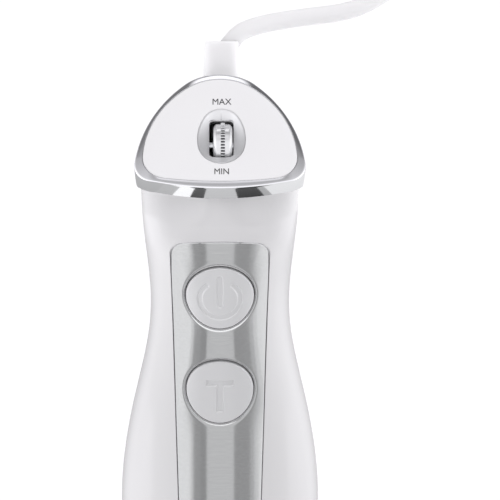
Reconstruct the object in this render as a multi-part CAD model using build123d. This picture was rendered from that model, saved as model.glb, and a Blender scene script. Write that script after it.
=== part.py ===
"""Hand-held immersion blender: motor body, detachable blending leg and mains lead.

Millimetres, +Z up. The blender stands on the rim of its blade guard, the drive axis is the Z axis,
the rim's plane is z = 0 and the control panel faces -Y.
"""
import os
from math import cos, degrees, pi, radians, sin, sqrt, tan

from build123d import *

# Driving dimensions of the sloping top
TOP_TILT = 35.0
TOP_FRONT_Y = -28.0
TOP_FRONT_Z = 372.3
TOP_OVERHANG = 1.65
TOP_FRONT_RADIUS = 104.35
TOP_FRONT_TURN = -76.5
TOP_CORNER_RADIUS = 7.35
TOP_CORNER_TURN = 7.0
TOP_SIDE_RADIUS = 53.35
TOP_SIDE_TURN = 48.3

# Driving dimensions of the two body shells, stations given as height, half width, half depth
BODY_STATIONS = [
    (178.0, 28.5, 28.5),
    (192.0, 32.0, 29.6),
    (212.0, 35.8, 30.2),
    (236.0, 37.0, 30.0),
    (257.0, 35.1, 29.0),
    (275.0, 31.8, 27.8),
    (291.0, 28.2, 26.4),
    (304.0, 25.9, 25.6),
    (317.0, 25.1, 25.1),
]
NECK_HALF_WIDTH = 25.7
NECK_HALF_DEPTH = 24.6
NECK_STATIONS = 3
NECK_EASE = 1.5
BODY_INSET = 1.2
WALL = 2.4
SPLIT_Y = 2.0
OUTLINE_POINTS = 48

# Driving dimensions of the bright ring, the top plate and the speed dial
RING_HEIGHT = 5.0
RING_BEVEL_WIDTH = 1.75
RING_BEVEL_DROP = 0.45
RING_LIP_INSET = 0.5
RING_BULGE_DROP = 2.2
RING_FOOT_INSET = 1.0
RING_SEAT_INSET = 4.2
PLATE_THICK = 2.3
PLATE_CLEARANCE = 0.1
DIAL_SHIFT = 0.5
DISH_FRONT = 8.7
DISH_RADIUS = 8.3
DISH_SIDE_RADIUS = 20.6
DISH_SIDE_TURN = 35.0
DISH_FLANGE = 1.5
DISH_BOTTOM = 4.5
DISH_DEPTH = 1.8
DISH_STEP_DEPTH = 0.8
DISH_STEP_INSET = 2.5
DISH_FLOOR_INSET = 5.15
DISH_RIM = 0.35
DISH_CLEARANCE = 0.05
SLOT_WIDTH = 8.4
SLOT_LENGTH = 15.2
SLOT_CENTRE = 19.8
SLOT_CORNER = 1.5
WHEEL_RADIUS = 8.2
WHEEL_WIDTH = 6.6
WHEEL_SHIFT = 0.5
WHEEL_DEPTH = 6.3
WHEEL_CHAMFER = 0.9
WHEEL_CLEARANCE = 0.4
WHEEL_BAND_WIDTH = 1.5
WHEEL_BAND_HEIGHT = 0.5
WHEEL_TEETH = 48
TOOTH_DEPTH = 0.375
TOOTH_FLAT = 0.9
SPINDLE_RADIUS = 1.5
BRACKET_GAP = 5.0
BRACKET_WALL = 1.5
BRACKET_LENGTH = 12.0
BRACKET_END_GAP = 2.25
BRACKET_DROP = 11.5
POT_WIDTH = 5.0
POT_LENGTH = 11.0

# Driving dimensions of the steel panel and the two buttons
PANEL_TOP_Z = 348.4
PANEL_CROWN = 1.6
PANEL_TOP_HALF = 17.6
PANEL_BOTTOM_Z = 212.0
PANEL_BOTTOM_HALF = 14.4
PANEL_CORNER = 5.0
PANEL_END_RADIUS = 11.0
PANEL_THICK = 0.8
PANEL_SEAM = 0.25
POWER_Z = 327.9
TURBO_Z = 291.4
BUTTON_HALF_WIDTH = 12.05
BUTTON_HALF_HEIGHT = 12.2
BUTTON_GAP = 0.6
BUTTON_RECESS = 0.2
BUTTON_SKIRT = 1.6
BUTTON_CROWN_BACK = 3.6
BUTTON_TRAVEL = 1.5
BUTTON_POST_RADIUS = 2.0
FLANGE_WIDTH = 1.5
FLANGE_THICK = 1.4
FLANGE_Y = -18.2
GUIDE_WALL = 1.5
GUIDE_CLEARANCE = 0.3

# Driving dimensions of the board behind the buttons
BOARD_Y = -7.0
BOARD_THICK = 1.6
BOARD_HALF_WIDTH = 14.0
BOARD_MARGIN = 14.0
SWITCH_SIZE = 6.0
SWITCH_HEIGHT = 3.5
PLUNGER_RADIUS = 1.7
PRESS_GAP = 0.4
DOME_FRONT_RADIUS = 5.2
DOME_BACK_RADIUS = 7.6
DOME_WALL = 0.9
DOME_GAP = 0.3
TERMINAL_WIDTH = 16.0
TERMINAL_DEPTH = 9.0
TERMINAL_HEIGHT = 11.0

# Driving dimensions of the screws
SHELL_SCREW_Z = (345.6, 309.0)
SCREW_RADIUS = 1.4
SCREW_HEAD_RADIUS = 2.7
SCREW_HEAD_HEIGHT = 1.8
SCREW_LENGTH = 32.0
SCREW_SLOT_WIDTH = 0.7
SCREW_SLOT_DEPTH = 0.9
BOSS_RADIUS = 3.4
THREAD_CLEARANCE = 0.02
HOLE_CLEARANCE = 0.2

# Driving dimensions of the motor
SHAFT_RADIUS = 2.5
RUNNING_CLEARANCE = 0.03
BEARING_RADIUS = 8.0
BEARING_WIDTH = 5.0
SHIELD_INSET = 1.6
SHIELD_DEPTH = 0.5
HUB_WALL = 2.0
BRACKET_THICK = 5.0
BRACKET_HALF_WIDTH = 7.0
POST_OUTER = 24.0
POST_WIDTH = 4.0
CUSHION_WALL = 2.6
CUSHION_HEIGHT = 6.0
FAN_RADIUS = 18.6
FAN_HEIGHT = 8.0
FAN_BLADES = 9
FAN_BLADE_THICK = 1.2
FAN_DISC = 1.6
FAN_GAP = 3.0
STACK_HEIGHT = 24.0
STATOR_RADIUS = 25.0
YOKE_WIDTH = 3.5
POLE_HALF_WIDTH = 9.0
AIR_GAP = 0.35
ARMATURE_RADIUS = 14.0
ARMATURE_SLOTS = 12
ARMATURE_SLOT_WIDTH = 2.2
ARMATURE_SLOT_DEPTH = 4.0
COIL_SIDE = 4.0
COIL_DEPTH = 4.4
COIL_CLEARANCE = 0.4
WINDING_RADIUS = 11.4
WINDING_HEIGHT = 5.0
WINDING_GAP = 1.0
COMMUTATOR_RADIUS = 9.0
COMMUTATOR_HEIGHT = 11.0
COMMUTATOR_BARS = 12
BAR_GAP = 0.5
BAR_DEPTH = 1.0
BRUSH_WIDTH = 5.0
BRUSH_HEIGHT = 6.5
BRUSH_LENGTH = 10.0
BRUSH_CLEARANCE = 0.1
HOLDER_WALL = 1.2
HOLDER_SETBACK = 1.0
MOTOR_SCREW_RADIUS = 1.5

# Driving dimensions of the bottom cap and the twist lock
CAP_FLANGE = 3.0
CAP_EDGE_INSET = 0.2
CAP_BORE = 9.0
NOSE_RADIUS = 20.0
NOSE_WALL = 3.5
NOSE_LENGTH = 16.0
CAP_SCREW_CIRCLE = 23.5
CAP_SCREW_LENGTH = 16.0
CAP_SCREW_COUNT = 4
LUG_COUNT = 3
LUG_ANGLE = 20.0
LUG_HEIGHT = 3.0
LUG_REACH = 1.8
LUG_RISE = 4.5
TWIST_ANGLE = 25.0
LOCK_CLEARANCE = 0.3

# Driving dimensions of the drive coupling
DOG_RADIUS = 8.5
DOG_BORE = 7.0
DOG_HEIGHT = 11.0
DOG_FLOOR = 3.0
DOG_DROP = 1.0
JAW_ANGLE = 80.0
JAW_INNER = 4.5
TANG_WIDTH = 3.0
TANG_HEIGHT = 7.0
TANG_CLEARANCE = 0.4
TANG_DISC = 2.4

# Driving dimensions of the blending leg
COLLAR_WALL_BOTTOM = 2.4
COLLAR_LENGTH = 54.0
COLLAR_GAP = 0.4
COLLAR_FOOT_FLARE = 0.12
COLLAR_TOP_FLARE = 0.22
TUBE_RADIUS = 14.5
TUBE_WALL = 1.0
TUBE_INSERT = 28.0
DRIVE_SHAFT_RADIUS = 3.0
BUSH_LENGTH = 10.0
SEAL_LENGTH = 4.0
SEAL_RADIUS = 8.0
GASKET_HEIGHT = 1.6
GUARD_RADIUS = 32.0
GUARD_HEIGHT = 46.0
GUARD_RIM_HEIGHT = 15.0
GUARD_WALL = 1.2
GUARD_THROAT_FLARE = 0.35
GUARD_ARCHES = 4
ARCH_HALF_WIDTH = 10.0
ARCH_HEIGHT = 11.0
BLADE_REACH = 24.0
BLADE_WIDTH = 10.0
BLADE_TIP_Y = 2.0
BLADE_BACK_Y = 3.3
BLADE_THICK = 1.4
BLADE_Z = 17.0
BLADE_LIFT = 12.0
BLADE_CLEARANCE = 0.3
NUT_HEIGHT = 4.0
NUT_RADIUS = 5.2

# Driving dimensions of the mains lead
CORD_RADIUS = 3.2
BOOT_END_Y = 24.6
BOOT_END_Z = 405.5
BOOT_LEAN = 20.0
BOOT_LENGTH = 44.0
BOOT_END_RADIUS = 5.65
BOOT_BASE_RADIUS = 6.5
SPOUT_WALL = 1.6
SPOUT_DROP = 14.0
BOOT_LEDGE = 1.0
CORD_ROUTE = [
    (0.6, 22.4, 401.0),
    (5.0, 27.4, 407.4),
    (13.0, 33.4, 409.4),
    (28.0, 42.5, 409.6),
    (52.0, 56.0, 411.0),
    (82.0, 70.0, 412.0),
    (108.0, 78.0, 404.0),
    (126.0, 80.0, 382.0),
    (133.5, 78.0, 351.0),
    (135.0, 73.0, 296.0),
    (133.6, 72.0, 223.0),
    (134.2, 73.4, 152.0),
    (135.0, 70.0, 94.0),
    (135.0, 68.5, 54.0),
    (135.0, 60.0, 26.0),
    (135.0, 42.0, 9.2),
    (135.0, 12.8, 4.6),
    (135.0, -15.6, 4.6),
]
BEND_SHARE = 0.45
COIL_OUTER = 40.0
COIL_STEP = 4.0
COIL_LAYER = 7.0
COIL_HALF_TURNS = 3
POINTS_PER_HALF_TURN = 24
NEIGHBOUR_SPAN = 4.0
TAIL_RUNS = (13.0, 22.0, 12.0)
TIE_WIDTH = 8.0
TIE_THICK = 1.2
TIE_CLEARANCE = 0.3
PLUG_THICK = 13.6
PLUG_WIDTH = 35.0
PLUG_LENGTH = 34.0
PLUG_NECK_WIDTH = 13.0
PLUG_EDGE = 3.0
PLUG_RELIEF_LENGTH = 21.0
RELIEF_WALL = 1.3
RELIEF_INSET = 0.5
PIN_RADIUS = 2.0
PIN_LENGTH = 19.0
PIN_TIP_RADIUS = 1.0
PIN_SPACING = 18.6

parts = {}


# Simple solids


def rod(radius, low, high, x=0.0, y=0.0):
    """Upright cylinder between two heights."""
    return Pos(x, y, low) * Cylinder(radius, high - low, align=(Align.CENTER, Align.CENTER, Align.MIN))


def turned(*points):
    """Solid turned about the Z axis from a closed outline of (radius, height) points."""
    outline = Polyline(*[(r, 0, z) for r, z in points], close=True)
    return revolve(make_face(outline), Axis.Z)


def sleeve(outer, inner, low, high):
    """Ring of rectangular section about the Z axis."""
    return turned((inner, low), (outer, low), (outer, high), (inner, high))


def sector(inner, outer, low, high, start, sweep_angle):
    """Part of a ring about the Z axis from a start angle, both angles in degrees."""
    outline = Polyline((inner, 0, low), (outer, 0, low), (outer, 0, high), (inner, 0, high), close=True)
    return Rot(0, 0, start) * revolve(make_face(outline), Axis.Z, revolution_arc=sweep_angle)


def block(x, y, z):
    """Box between two limits on each axis."""
    limits = (x, y, z)
    centre = [(low + high) / 2 for low, high in limits]
    return Pos(*centre) * Box(*[high - low for low, high in limits])


def bar_y(face, front, back, z):
    """Face drawn in x and z about a centre height, carried from front to back along Y."""
    return Pos(0, front, z) * Rot(-90, 0, 0) * extrude(face, back - front)


# Outlines of tangent arcs, symmetric about the centre line


def tangent_arcs(start, arcs):
    """Right half of an outline: each arc has a centre, a radius and the angles of its outward normal.

    It starts on the centre line facing -90 degrees; the last arc is sized to end on the centre line.
    """
    radius = arcs[0][0]
    centre = Vector(0, start + radius)
    angle = -90.0
    result = []
    for index, (radius, turn) in enumerate(arcs):
        result.append((centre, radius, angle, turn))
        angle = turn
        normal = Vector(cos(radians(turn)), sin(radians(turn)))
        last = index + 1 == len(arcs)
        following = radius + centre.X / normal.X if last else arcs[index + 1][0]
        centre = centre + normal * (radius - following)
        if last:
            result.append((centre, following, angle, 90.0))
    return result


def outline_edges(arcs, inset):
    """Edges of the whole outline, moved inward by an even distance."""
    right = [CenterArc(c, r - inset, low, high - low) for c, r, low, high in arcs]
    left = [CenterArc((-c.X, c.Y), r - inset, 180 - high, high - low) for c, r, low, high in arcs]
    return right + left[::-1]


def outline_face(arcs, inset):
    """Face inside the outline."""
    return make_face(outline_edges(arcs, inset))


def outline_point(arcs, angle, inset):
    """Point of the outline with a given outward normal, -90 to 270 degrees."""
    mirrored = angle > 90
    own = 180 - angle if mirrored else angle
    for centre, radius, low, high in arcs:
        if low <= own <= high:
            normal = Vector(cos(radians(own)), sin(radians(own)))
            point = centre + normal * (radius - inset)
            return Vector(-point.X if mirrored else point.X, point.Y)


# Frame of the sloping top: x across, y up the slope, z out of the face
top_across = (1, 0, 0)
top_normal = (0, -sin(radians(TOP_TILT)), cos(radians(TOP_TILT)))
top_place = Location(Plane((0, TOP_FRONT_Y, TOP_FRONT_Z), top_across, top_normal))
ring_arcs = tangent_arcs(-TOP_OVERHANG, [
    (TOP_FRONT_RADIUS, TOP_FRONT_TURN),
    (TOP_CORNER_RADIUS, TOP_CORNER_TURN),
    (TOP_SIDE_RADIUS, TOP_SIDE_TURN),
])
apex_centre, apex_radius = ring_arcs[-1][:2]
apex = apex_centre.Y + apex_radius
ring_middle = (apex - TOP_OVERHANG) / 2
neck_centre = (top_place * Pos(0, ring_middle, -RING_HEIGHT)).position


# Body form, lofted from round sections at the bottom to the ring's outline on the slope


def body_section(centre_y, centre_z, tilt, blend, half_width, half_depth, inset):
    """Closed section: the ring outline blended with an ellipse, on a plane tilted about X."""
    points = []
    for step in range(OUTLINE_POINTS):
        angle = -90 + 360 * step / OUTLINE_POINTS
        pick = outline_point(ring_arcs, angle, BODY_INSET + inset)
        across = (half_width - inset) * cos(radians(angle))
        along = (half_depth - inset) * sin(radians(angle))
        across += blend * (pick.X - across)
        along += blend * (pick.Y - ring_middle - along)
        points.append((across, centre_y + along * cos(tilt), centre_z + along * sin(tilt)))
    return make_face(Spline(*points, periodic=True))


def body_form(inset):
    """Solid inside the body's outer face, moved inward by an even distance."""
    sections = [body_section(0, z, 0, 0, width, depth, inset) for z, width, depth in BODY_STATIONS]
    waist_z, waist_width, waist_depth = BODY_STATIONS[-1]
    for step in range(NECK_STATIONS):
        share = (step + 1) / NECK_STATIONS
        ease = share ** NECK_EASE
        height = waist_z + share * (neck_centre.Z - waist_z)
        tilt = radians(TOP_TILT) * ease
        sections.append(body_section(
            neck_centre.Y * ease, height, tilt, ease, NECK_HALF_WIDTH, NECK_HALF_DEPTH, inset))
    return loft(sections)


body_outer = body_form(0)
body_seat = body_form(PANEL_THICK)
body_core = body_form((PANEL_THICK + WALL) / 2)
body_inner = body_form(WALL)
body_low = BODY_STATIONS[0][0]
reach = 3 * max(width for z, width, depth in BODY_STATIONS)


def front_y(z, form):
    """Where the front of a body form meets the centre line at a height."""
    line = Line((0, -reach, z), (0, 0, z))
    return (line & form).bounding_box().min.Y


# Steel panel outline in x and z, and the cut that lets the panel into the front shell


def panel_prism(inset):
    """Upright shape of the panel carried through the body's front half."""
    top = PANEL_TOP_Z - inset
    bottom = PANEL_BOTTOM_Z + inset
    top_half = PANEL_TOP_HALF - inset
    bottom_half = PANEL_BOTTOM_HALF - inset
    y = -reach
    edges = [
        ThreePointArc((-top_half, y, top), (0, y, top + PANEL_CROWN), (top_half, y, top)),
        Line((top_half, y, top), (bottom_half, y, bottom)),
        Line((bottom_half, y, bottom), (-bottom_half, y, bottom)),
        Line((-bottom_half, y, bottom), (-top_half, y, top)),
    ]
    solid = extrude(make_face(edges), reach, dir=(0, 1, 0))
    upright = solid.edges().filter_by(Axis.Y).sort_by(Axis.Z)
    solid = fillet(upright[:2], PANEL_END_RADIUS)
    upright = solid.edges().filter_by(Axis.Y).sort_by(Axis.Z)
    return fillet(upright[-2:], PANEL_CORNER)


def button_oval(grow):
    """Oval of a button's edge, grown by an even distance."""
    return Ellipse(BUTTON_HALF_WIDTH + grow, BUTTON_HALF_HEIGHT + grow)


button_heights = {"power": POWER_Z, "turbo": TURBO_Z}
panel = (body_outer - body_seat) & panel_prism(PANEL_SEAM)
for height in button_heights.values():
    panel -= bar_y(button_oval(BUTTON_GAP), -reach, 0, height)
parts["steel_panel"] = panel

# Front and rear shells with their screw bosses, button guides, motor rib and cord spout
motor_low = body_low + CAP_FLANGE
hub_radius = BEARING_RADIUS + HUB_WALL
cushion_radius = hub_radius + CUSHION_WALL
lower_bracket_low = motor_low + CUSHION_HEIGHT - BRACKET_THICK
lower_bracket_high = lower_bracket_low + 2 * BRACKET_THICK
fan_low = lower_bracket_high + FAN_GAP
fan_high = fan_low + FAN_HEIGHT
stack_low = fan_high + FAN_GAP + max(COIL_SIDE, WINDING_HEIGHT)
stack_high = stack_low + STACK_HEIGHT
commutator_low = stack_high + max(COIL_SIDE, WINDING_HEIGHT) + FAN_GAP
commutator_high = commutator_low + COMMUTATOR_HEIGHT
upper_bracket_low = commutator_high + FAN_GAP
upper_hub_low = upper_bracket_low + BRACKET_THICK
upper_hub_high = upper_hub_low + CUSHION_HEIGHT + HUB_WALL
rib_low = upper_hub_high - CUSHION_HEIGHT
rib_high = rib_low + WALL

shell = body_outer - body_inner
front_half = block((-reach, reach), (-reach, SPLIT_Y), (0, 2 * reach + TOP_FRONT_Z))
rear_half = block((-reach, reach), (SPLIT_Y, reach), (0, 2 * reach + TOP_FRONT_Z))
motor_rib = body_core & block((-reach, reach), (-reach, reach), (rib_low, rib_high))
inner_ribs = [motor_rib - rod(cushion_radius, rib_low, rib_high)]
front_ribs = []
front_cuts = []
rear_ribs = []
rear_cuts = []

for height in button_heights.values():
    guide = bar_y(button_oval(GUIDE_CLEARANCE + GUIDE_WALL), -reach, FLANGE_Y, height)
    front_ribs.append(guide & body_core)
    front_cuts.append(bar_y(button_oval(GUIDE_CLEARANCE), -reach, FLANGE_Y, height))

screws = []
for height in SHELL_SCREW_Z:
    seat_y = front_y(height, body_seat)
    head_back = seat_y + SCREW_HEAD_HEIGHT + HOLE_CLEARANCE
    shaft_end = head_back + SCREW_LENGTH
    inner_ribs.append(bar_y(Circle(BOSS_RADIUS), -reach, reach, height) & body_core)
    front_cuts.append(bar_y(Circle(SCREW_HEAD_RADIUS + HOLE_CLEARANCE), -reach, head_back, height))
    front_cuts.append(bar_y(Circle(SCREW_RADIUS + HOLE_CLEARANCE), head_back, reach, height))
    rear_cuts.append(bar_y(Circle(SCREW_RADIUS + THREAD_CLEARANCE), 0, shaft_end + HOLE_CLEARANCE, height))
    head = bar_y(Circle(SCREW_HEAD_RADIUS), head_back - SCREW_HEAD_HEIGHT, head_back, height)
    head_front = head_back - SCREW_HEAD_HEIGHT
    head -= block((-SCREW_HEAD_RADIUS, SCREW_HEAD_RADIUS), (seat_y, head_front + SCREW_SLOT_DEPTH),
                  (height - SCREW_SLOT_WIDTH / 2, height + SCREW_SLOT_WIDTH / 2))
    screws.append(head + bar_y(Circle(SCREW_RADIUS), head_back, shaft_end, height))
parts["shell_screws"] = Compound(children=screws)

cap_screw_low = body_low - CAP_FLANGE + SCREW_HEAD_HEIGHT
cap_screw_high = cap_screw_low + CAP_SCREW_LENGTH
cap_screw_places = []
for index in range(CAP_SCREW_COUNT):
    angle = radians(360 * (index + 0.5) / CAP_SCREW_COUNT)
    cap_screw_places.append((CAP_SCREW_CIRCLE * cos(angle), CAP_SCREW_CIRCLE * sin(angle)))
cap_screws = []
for x, y in cap_screw_places:
    inner_ribs.append(rod(BOSS_RADIUS, body_low, cap_screw_high + WALL, x, y) & body_core)
    hole = rod(SCREW_RADIUS + THREAD_CLEARANCE, body_low, cap_screw_high + HOLE_CLEARANCE, x, y)
    front_cuts.append(hole)
    rear_cuts.append(hole)
    screw = rod(SCREW_RADIUS, cap_screw_low, cap_screw_high, x, y)
    screw += rod(SCREW_HEAD_RADIUS, cap_screw_low - SCREW_HEAD_HEIGHT, cap_screw_low, x, y)
    cap_screws.append(screw)
parts["cap_screws"] = Compound(children=cap_screws)

boot_axis = (0, sin(radians(BOOT_LEAN)), cos(radians(BOOT_LEAN)))
boot_place = Location(Plane((0, BOOT_END_Y, BOOT_END_Z), (1, 0, 0), boot_axis))
spout = boot_place * rod(BOOT_BASE_RADIUS + SPOUT_WALL, -BOOT_LENGTH, -SPOUT_DROP)
above_neck = top_place * block((-reach, reach), (-reach, apex), (-RING_HEIGHT, reach))
rear_ribs.append(spout - body_inner - above_neck)
rear_cuts.append(boot_place * rod(BOOT_BASE_RADIUS, -BOOT_LENGTH, BOOT_LENGTH))

front_shell = (shell & front_half) - (panel_prism(0) - body_seat)
front_shell += [rib & front_half for rib in inner_ribs + front_ribs if rib & front_half]
parts["front_shell"] = front_shell - front_cuts
rear_shell = shell & rear_half
rear_shell += [rib & rear_half for rib in inner_ribs + rear_ribs if rib & rear_half]
parts["rear_shell"] = rear_shell - rear_cuts

# Bright ring round the sloping top: one section carried along the outline
plate_inset = RING_LIP_INSET + RING_BEVEL_WIDTH
ring_start = -TOP_OVERHANG
ring_section = make_face([
    Line((0, ring_start + plate_inset, 0), (0, ring_start + RING_LIP_INSET, -RING_BEVEL_DROP)),
    ThreePointArc((0, ring_start + RING_LIP_INSET, -RING_BEVEL_DROP), (0, ring_start, -RING_BULGE_DROP),
                  (0, ring_start + RING_FOOT_INSET, -RING_HEIGHT)),
    Line((0, ring_start + RING_FOOT_INSET, -RING_HEIGHT), (0, ring_start + RING_SEAT_INSET, -RING_HEIGHT)),
    Line((0, ring_start + RING_SEAT_INSET, -RING_HEIGHT), (0, ring_start + RING_SEAT_INSET, -PLATE_THICK)),
    Line((0, ring_start + RING_SEAT_INSET, -PLATE_THICK), (0, ring_start + plate_inset, -PLATE_THICK)),
    Line((0, ring_start + plate_inset, -PLATE_THICK), (0, ring_start + plate_inset, 0)),
])
parts["chrome_ring"] = top_place * sweep(ring_section, path=Wire(outline_edges(ring_arcs, 0)))

# Top plate and the dished dial surround let into it
dish_arcs = tangent_arcs(DISH_FRONT, [(DISH_RADIUS, 0.0), (DISH_SIDE_RADIUS, DISH_SIDE_TURN)])
plate = extrude(outline_face(ring_arcs, plate_inset + PLATE_CLEARANCE), -PLATE_THICK)
plate -= Pos(DIAL_SHIFT, 0, 0) * extrude(outline_face(dish_arcs, -DISH_CLEARANCE), -PLATE_THICK)
parts["top_plate"] = top_place * plate

dish = extrude(outline_face(dish_arcs, 0), -DISH_BOTTOM)
flange = extrude(outline_face(dish_arcs, -DISH_FLANGE), DISH_BOTTOM - PLATE_THICK)
dish += Pos(0, 0, -DISH_BOTTOM) * flange
bowl_steps = [(0.0, DISH_RIM), (DISH_STEP_DEPTH, DISH_STEP_INSET), (DISH_DEPTH, DISH_FLOOR_INSET)]
for (upper, wide), (lower, narrow) in zip(bowl_steps[:-1], bowl_steps[1:]):
    rim = Pos(0, 0, -upper) * outline_face(dish_arcs, wide)
    floor = Pos(0, 0, -lower) * outline_face(dish_arcs, narrow)
    dish -= loft([rim, floor], ruled=True)
slot = Pos(0, SLOT_CENTRE, 0) * RectangleRounded(SLOT_WIDTH, SLOT_LENGTH, SLOT_CORNER)
dish -= extrude(slot, -DISH_BOTTOM)
wheel_room = Rot(0, 90, 0) * Cylinder(WHEEL_RADIUS + WHEEL_CLEARANCE, SLOT_WIDTH)
dish -= Pos(0, SLOT_CENTRE, -WHEEL_DEPTH) * wheel_room
dial_place = top_place * Pos(DIAL_SHIFT, 0, 0)
parts["dial_dish"] = dial_place * dish

# Speed wheel with its toothed band, spindle, bracket and potentiometer
wheel_place = dial_place * Pos(0, SLOT_CENTRE, -WHEEL_DEPTH)
lying = Rot(0, 90, 0)
drum_radius = WHEEL_RADIUS - WHEEL_BAND_HEIGHT
drum = Cylinder(drum_radius, WHEEL_WIDTH)
drum = chamfer(drum.edges().filter_by(GeomType.CIRCLE), WHEEL_CHAMFER)
teeth_points = []
for index in range(2 * WHEEL_TEETH):
    for edge in (0.0, TOOTH_FLAT):
        angle = pi * (index + edge) / WHEEL_TEETH
        radius = WHEEL_RADIUS if index % 2 else WHEEL_RADIUS - TOOTH_DEPTH
        teeth_points.append((radius * cos(angle), radius * sin(angle)))
band = extrude(make_face(Polyline(*teeth_points, close=True)), WHEEL_BAND_WIDTH / 2, both=True)
wheel = drum + band - Cylinder(SPINDLE_RADIUS, WHEEL_WIDTH)
parts["speed_wheel"] = wheel_place * Pos(WHEEL_SHIFT, 0, 0) * lying * wheel
spindle_half = BRACKET_GAP + BRACKET_WALL
parts["wheel_spindle"] = wheel_place * lying * Cylinder(SPINDLE_RADIUS, 2 * spindle_half)

bracket_top = WHEEL_DEPTH - DISH_BOTTOM
bracket_inner = WHEEL_RADIUS + BRACKET_END_GAP
bracket_outer = bracket_inner + BRACKET_WALL
rail_z = (bracket_top - BRACKET_WALL, bracket_top)
cheek_x = (BRACKET_GAP, spindle_half)
cheek_z = (bracket_top - BRACKET_DROP, bracket_top)
cheek = block(cheek_x, (-BRACKET_LENGTH / 2, BRACKET_LENGTH / 2), cheek_z)
cheek += block(cheek_x, (-bracket_outer, bracket_outer), rail_z)
end_wall = block((-BRACKET_GAP, BRACKET_GAP), (bracket_inner, bracket_outer), rail_z)
bracket = cheek + mirror(cheek, Plane.YZ) + end_wall + mirror(end_wall, Plane.XZ)
bracket -= lying * Cylinder(SPINDLE_RADIUS + RUNNING_CLEARANCE, 2 * spindle_half)
parts["wheel_bracket"] = wheel_place * bracket
pot = block((spindle_half, spindle_half + POT_WIDTH), (-POT_LENGTH / 2, POT_LENGTH / 2),
            (bracket_top - POT_LENGTH, bracket_top))
parts["potentiometer"] = wheel_place * pot

# Push buttons: curved crown, skirt, stop flange and a post that meets the switch
switch_front = BOARD_Y - SWITCH_HEIGHT
post_end = switch_front - BUTTON_TRAVEL - PRESS_GAP
button_form = body_form(BUTTON_RECESS)
for name, height in button_heights.items():
    crown_back = front_y(height, button_form) + BUTTON_CROWN_BACK
    button = bar_y(button_oval(0), -reach, FLANGE_Y + FLANGE_THICK, height) & button_form
    button += bar_y(button_oval(FLANGE_WIDTH), FLANGE_Y, FLANGE_Y + FLANGE_THICK, height)
    button -= bar_y(button_oval(-BUTTON_SKIRT), crown_back, FLANGE_Y + FLANGE_THICK, height)
    button += bar_y(Circle(BUTTON_POST_RADIUS), crown_back, post_end, height)
    parts[name + "_button"] = button

# Control board with its two switches and the rubber domes that return the buttons
board_low = TURBO_Z - BOARD_MARGIN
board_high = POWER_Z + BOARD_MARGIN
board = block((-BOARD_HALF_WIDTH, BOARD_HALF_WIDTH), (BOARD_Y, BOARD_Y + BOARD_THICK),
              (board_low, board_high))
for height in SHELL_SCREW_Z:
    board -= bar_y(Circle(BOSS_RADIUS + HOLE_CLEARANCE), -reach, reach, height)
parts["control_board"] = board
switches = []
for name, height in button_heights.items():
    half = SWITCH_SIZE / 2
    body = block((-half, half), (switch_front, BOARD_Y), (height - half, height + half))
    body += bar_y(Circle(PLUNGER_RADIUS), switch_front - PRESS_GAP / 2, switch_front, height)
    switches.append(body)
    crown_back = front_y(height, button_form) + BUTTON_CROWN_BACK
    dome_front = crown_back + DOME_GAP
    wall_face = make_face(Polyline(
        (DOME_FRONT_RADIUS, dome_front, height), (DOME_FRONT_RADIUS, dome_front + DOME_WALL, height),
        (DOME_BACK_RADIUS, BOARD_Y, height), (DOME_BACK_RADIUS - DOME_WALL, BOARD_Y, height),
        (DOME_FRONT_RADIUS - DOME_WALL, dome_front + DOME_WALL, height),
        (DOME_FRONT_RADIUS - DOME_WALL, dome_front, height), close=True))
    parts[name + "_return_dome"] = revolve(wall_face, Axis((0, 0, height), (0, 1, 0)))
parts["board_switches"] = Compound(children=switches)

# Motor shaft with armature, commutator, fan and the driving half of the coupling
shaft_low = body_low - CAP_FLANGE - DOG_DROP - DOG_FLOOR
shaft_high = upper_hub_high + HUB_WALL
parts["motor_shaft"] = rod(SHAFT_RADIUS, shaft_low, shaft_high)
core = sleeve(ARMATURE_RADIUS, SHAFT_RADIUS, stack_low, stack_high)
slot_low = ARMATURE_RADIUS - ARMATURE_SLOT_DEPTH
winding = sleeve(WINDING_RADIUS, SHAFT_RADIUS + WINDING_GAP, stack_low - WINDING_HEIGHT, stack_low)
winding += sleeve(WINDING_RADIUS, SHAFT_RADIUS + WINDING_GAP, stack_high, stack_high + WINDING_HEIGHT)
half_slot = ARMATURE_SLOT_WIDTH / 2
for index in range(ARMATURE_SLOTS):
    turn = Rot(0, 0, 360 * index / ARMATURE_SLOTS)
    core -= turn * block((slot_low, 2 * ARMATURE_RADIUS), (-half_slot, half_slot), (stack_low, stack_high))
    winding += turn * block((slot_low, WINDING_RADIUS), (-half_slot, half_slot), (stack_low, stack_high))
parts["armature_core"] = core
parts["armature_winding"] = winding
commutator = sleeve(COMMUTATOR_RADIUS, SHAFT_RADIUS, commutator_low, commutator_high)
for index in range(COMMUTATOR_BARS):
    turn = Rot(0, 0, 360 * (index + 0.5) / COMMUTATOR_BARS)
    groove_x = (COMMUTATOR_RADIUS - BAR_DEPTH, 2 * COMMUTATOR_RADIUS)
    groove_y = (-BAR_GAP / 2, BAR_GAP / 2)
    commutator -= turn * block(groove_x, groove_y, (commutator_low, commutator_high))
parts["commutator"] = commutator
fan_hub = SHAFT_RADIUS + HUB_WALL
fan = sleeve(fan_hub, SHAFT_RADIUS, fan_low, fan_high)
fan += sleeve(FAN_RADIUS, SHAFT_RADIUS, fan_low, fan_low + FAN_DISC)
for index in range(FAN_BLADES):
    vane_y = (-FAN_BLADE_THICK / 2, FAN_BLADE_THICK / 2)
    vane = block((fan_hub - HUB_WALL / 2, FAN_RADIUS), vane_y, (fan_low, fan_high))
    fan += Rot(0, 0, 360 * index / FAN_BLADES) * vane
parts["cooling_fan"] = fan
dog_high = body_low - CAP_FLANGE - DOG_DROP
dog_low = dog_high - DOG_HEIGHT
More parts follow.
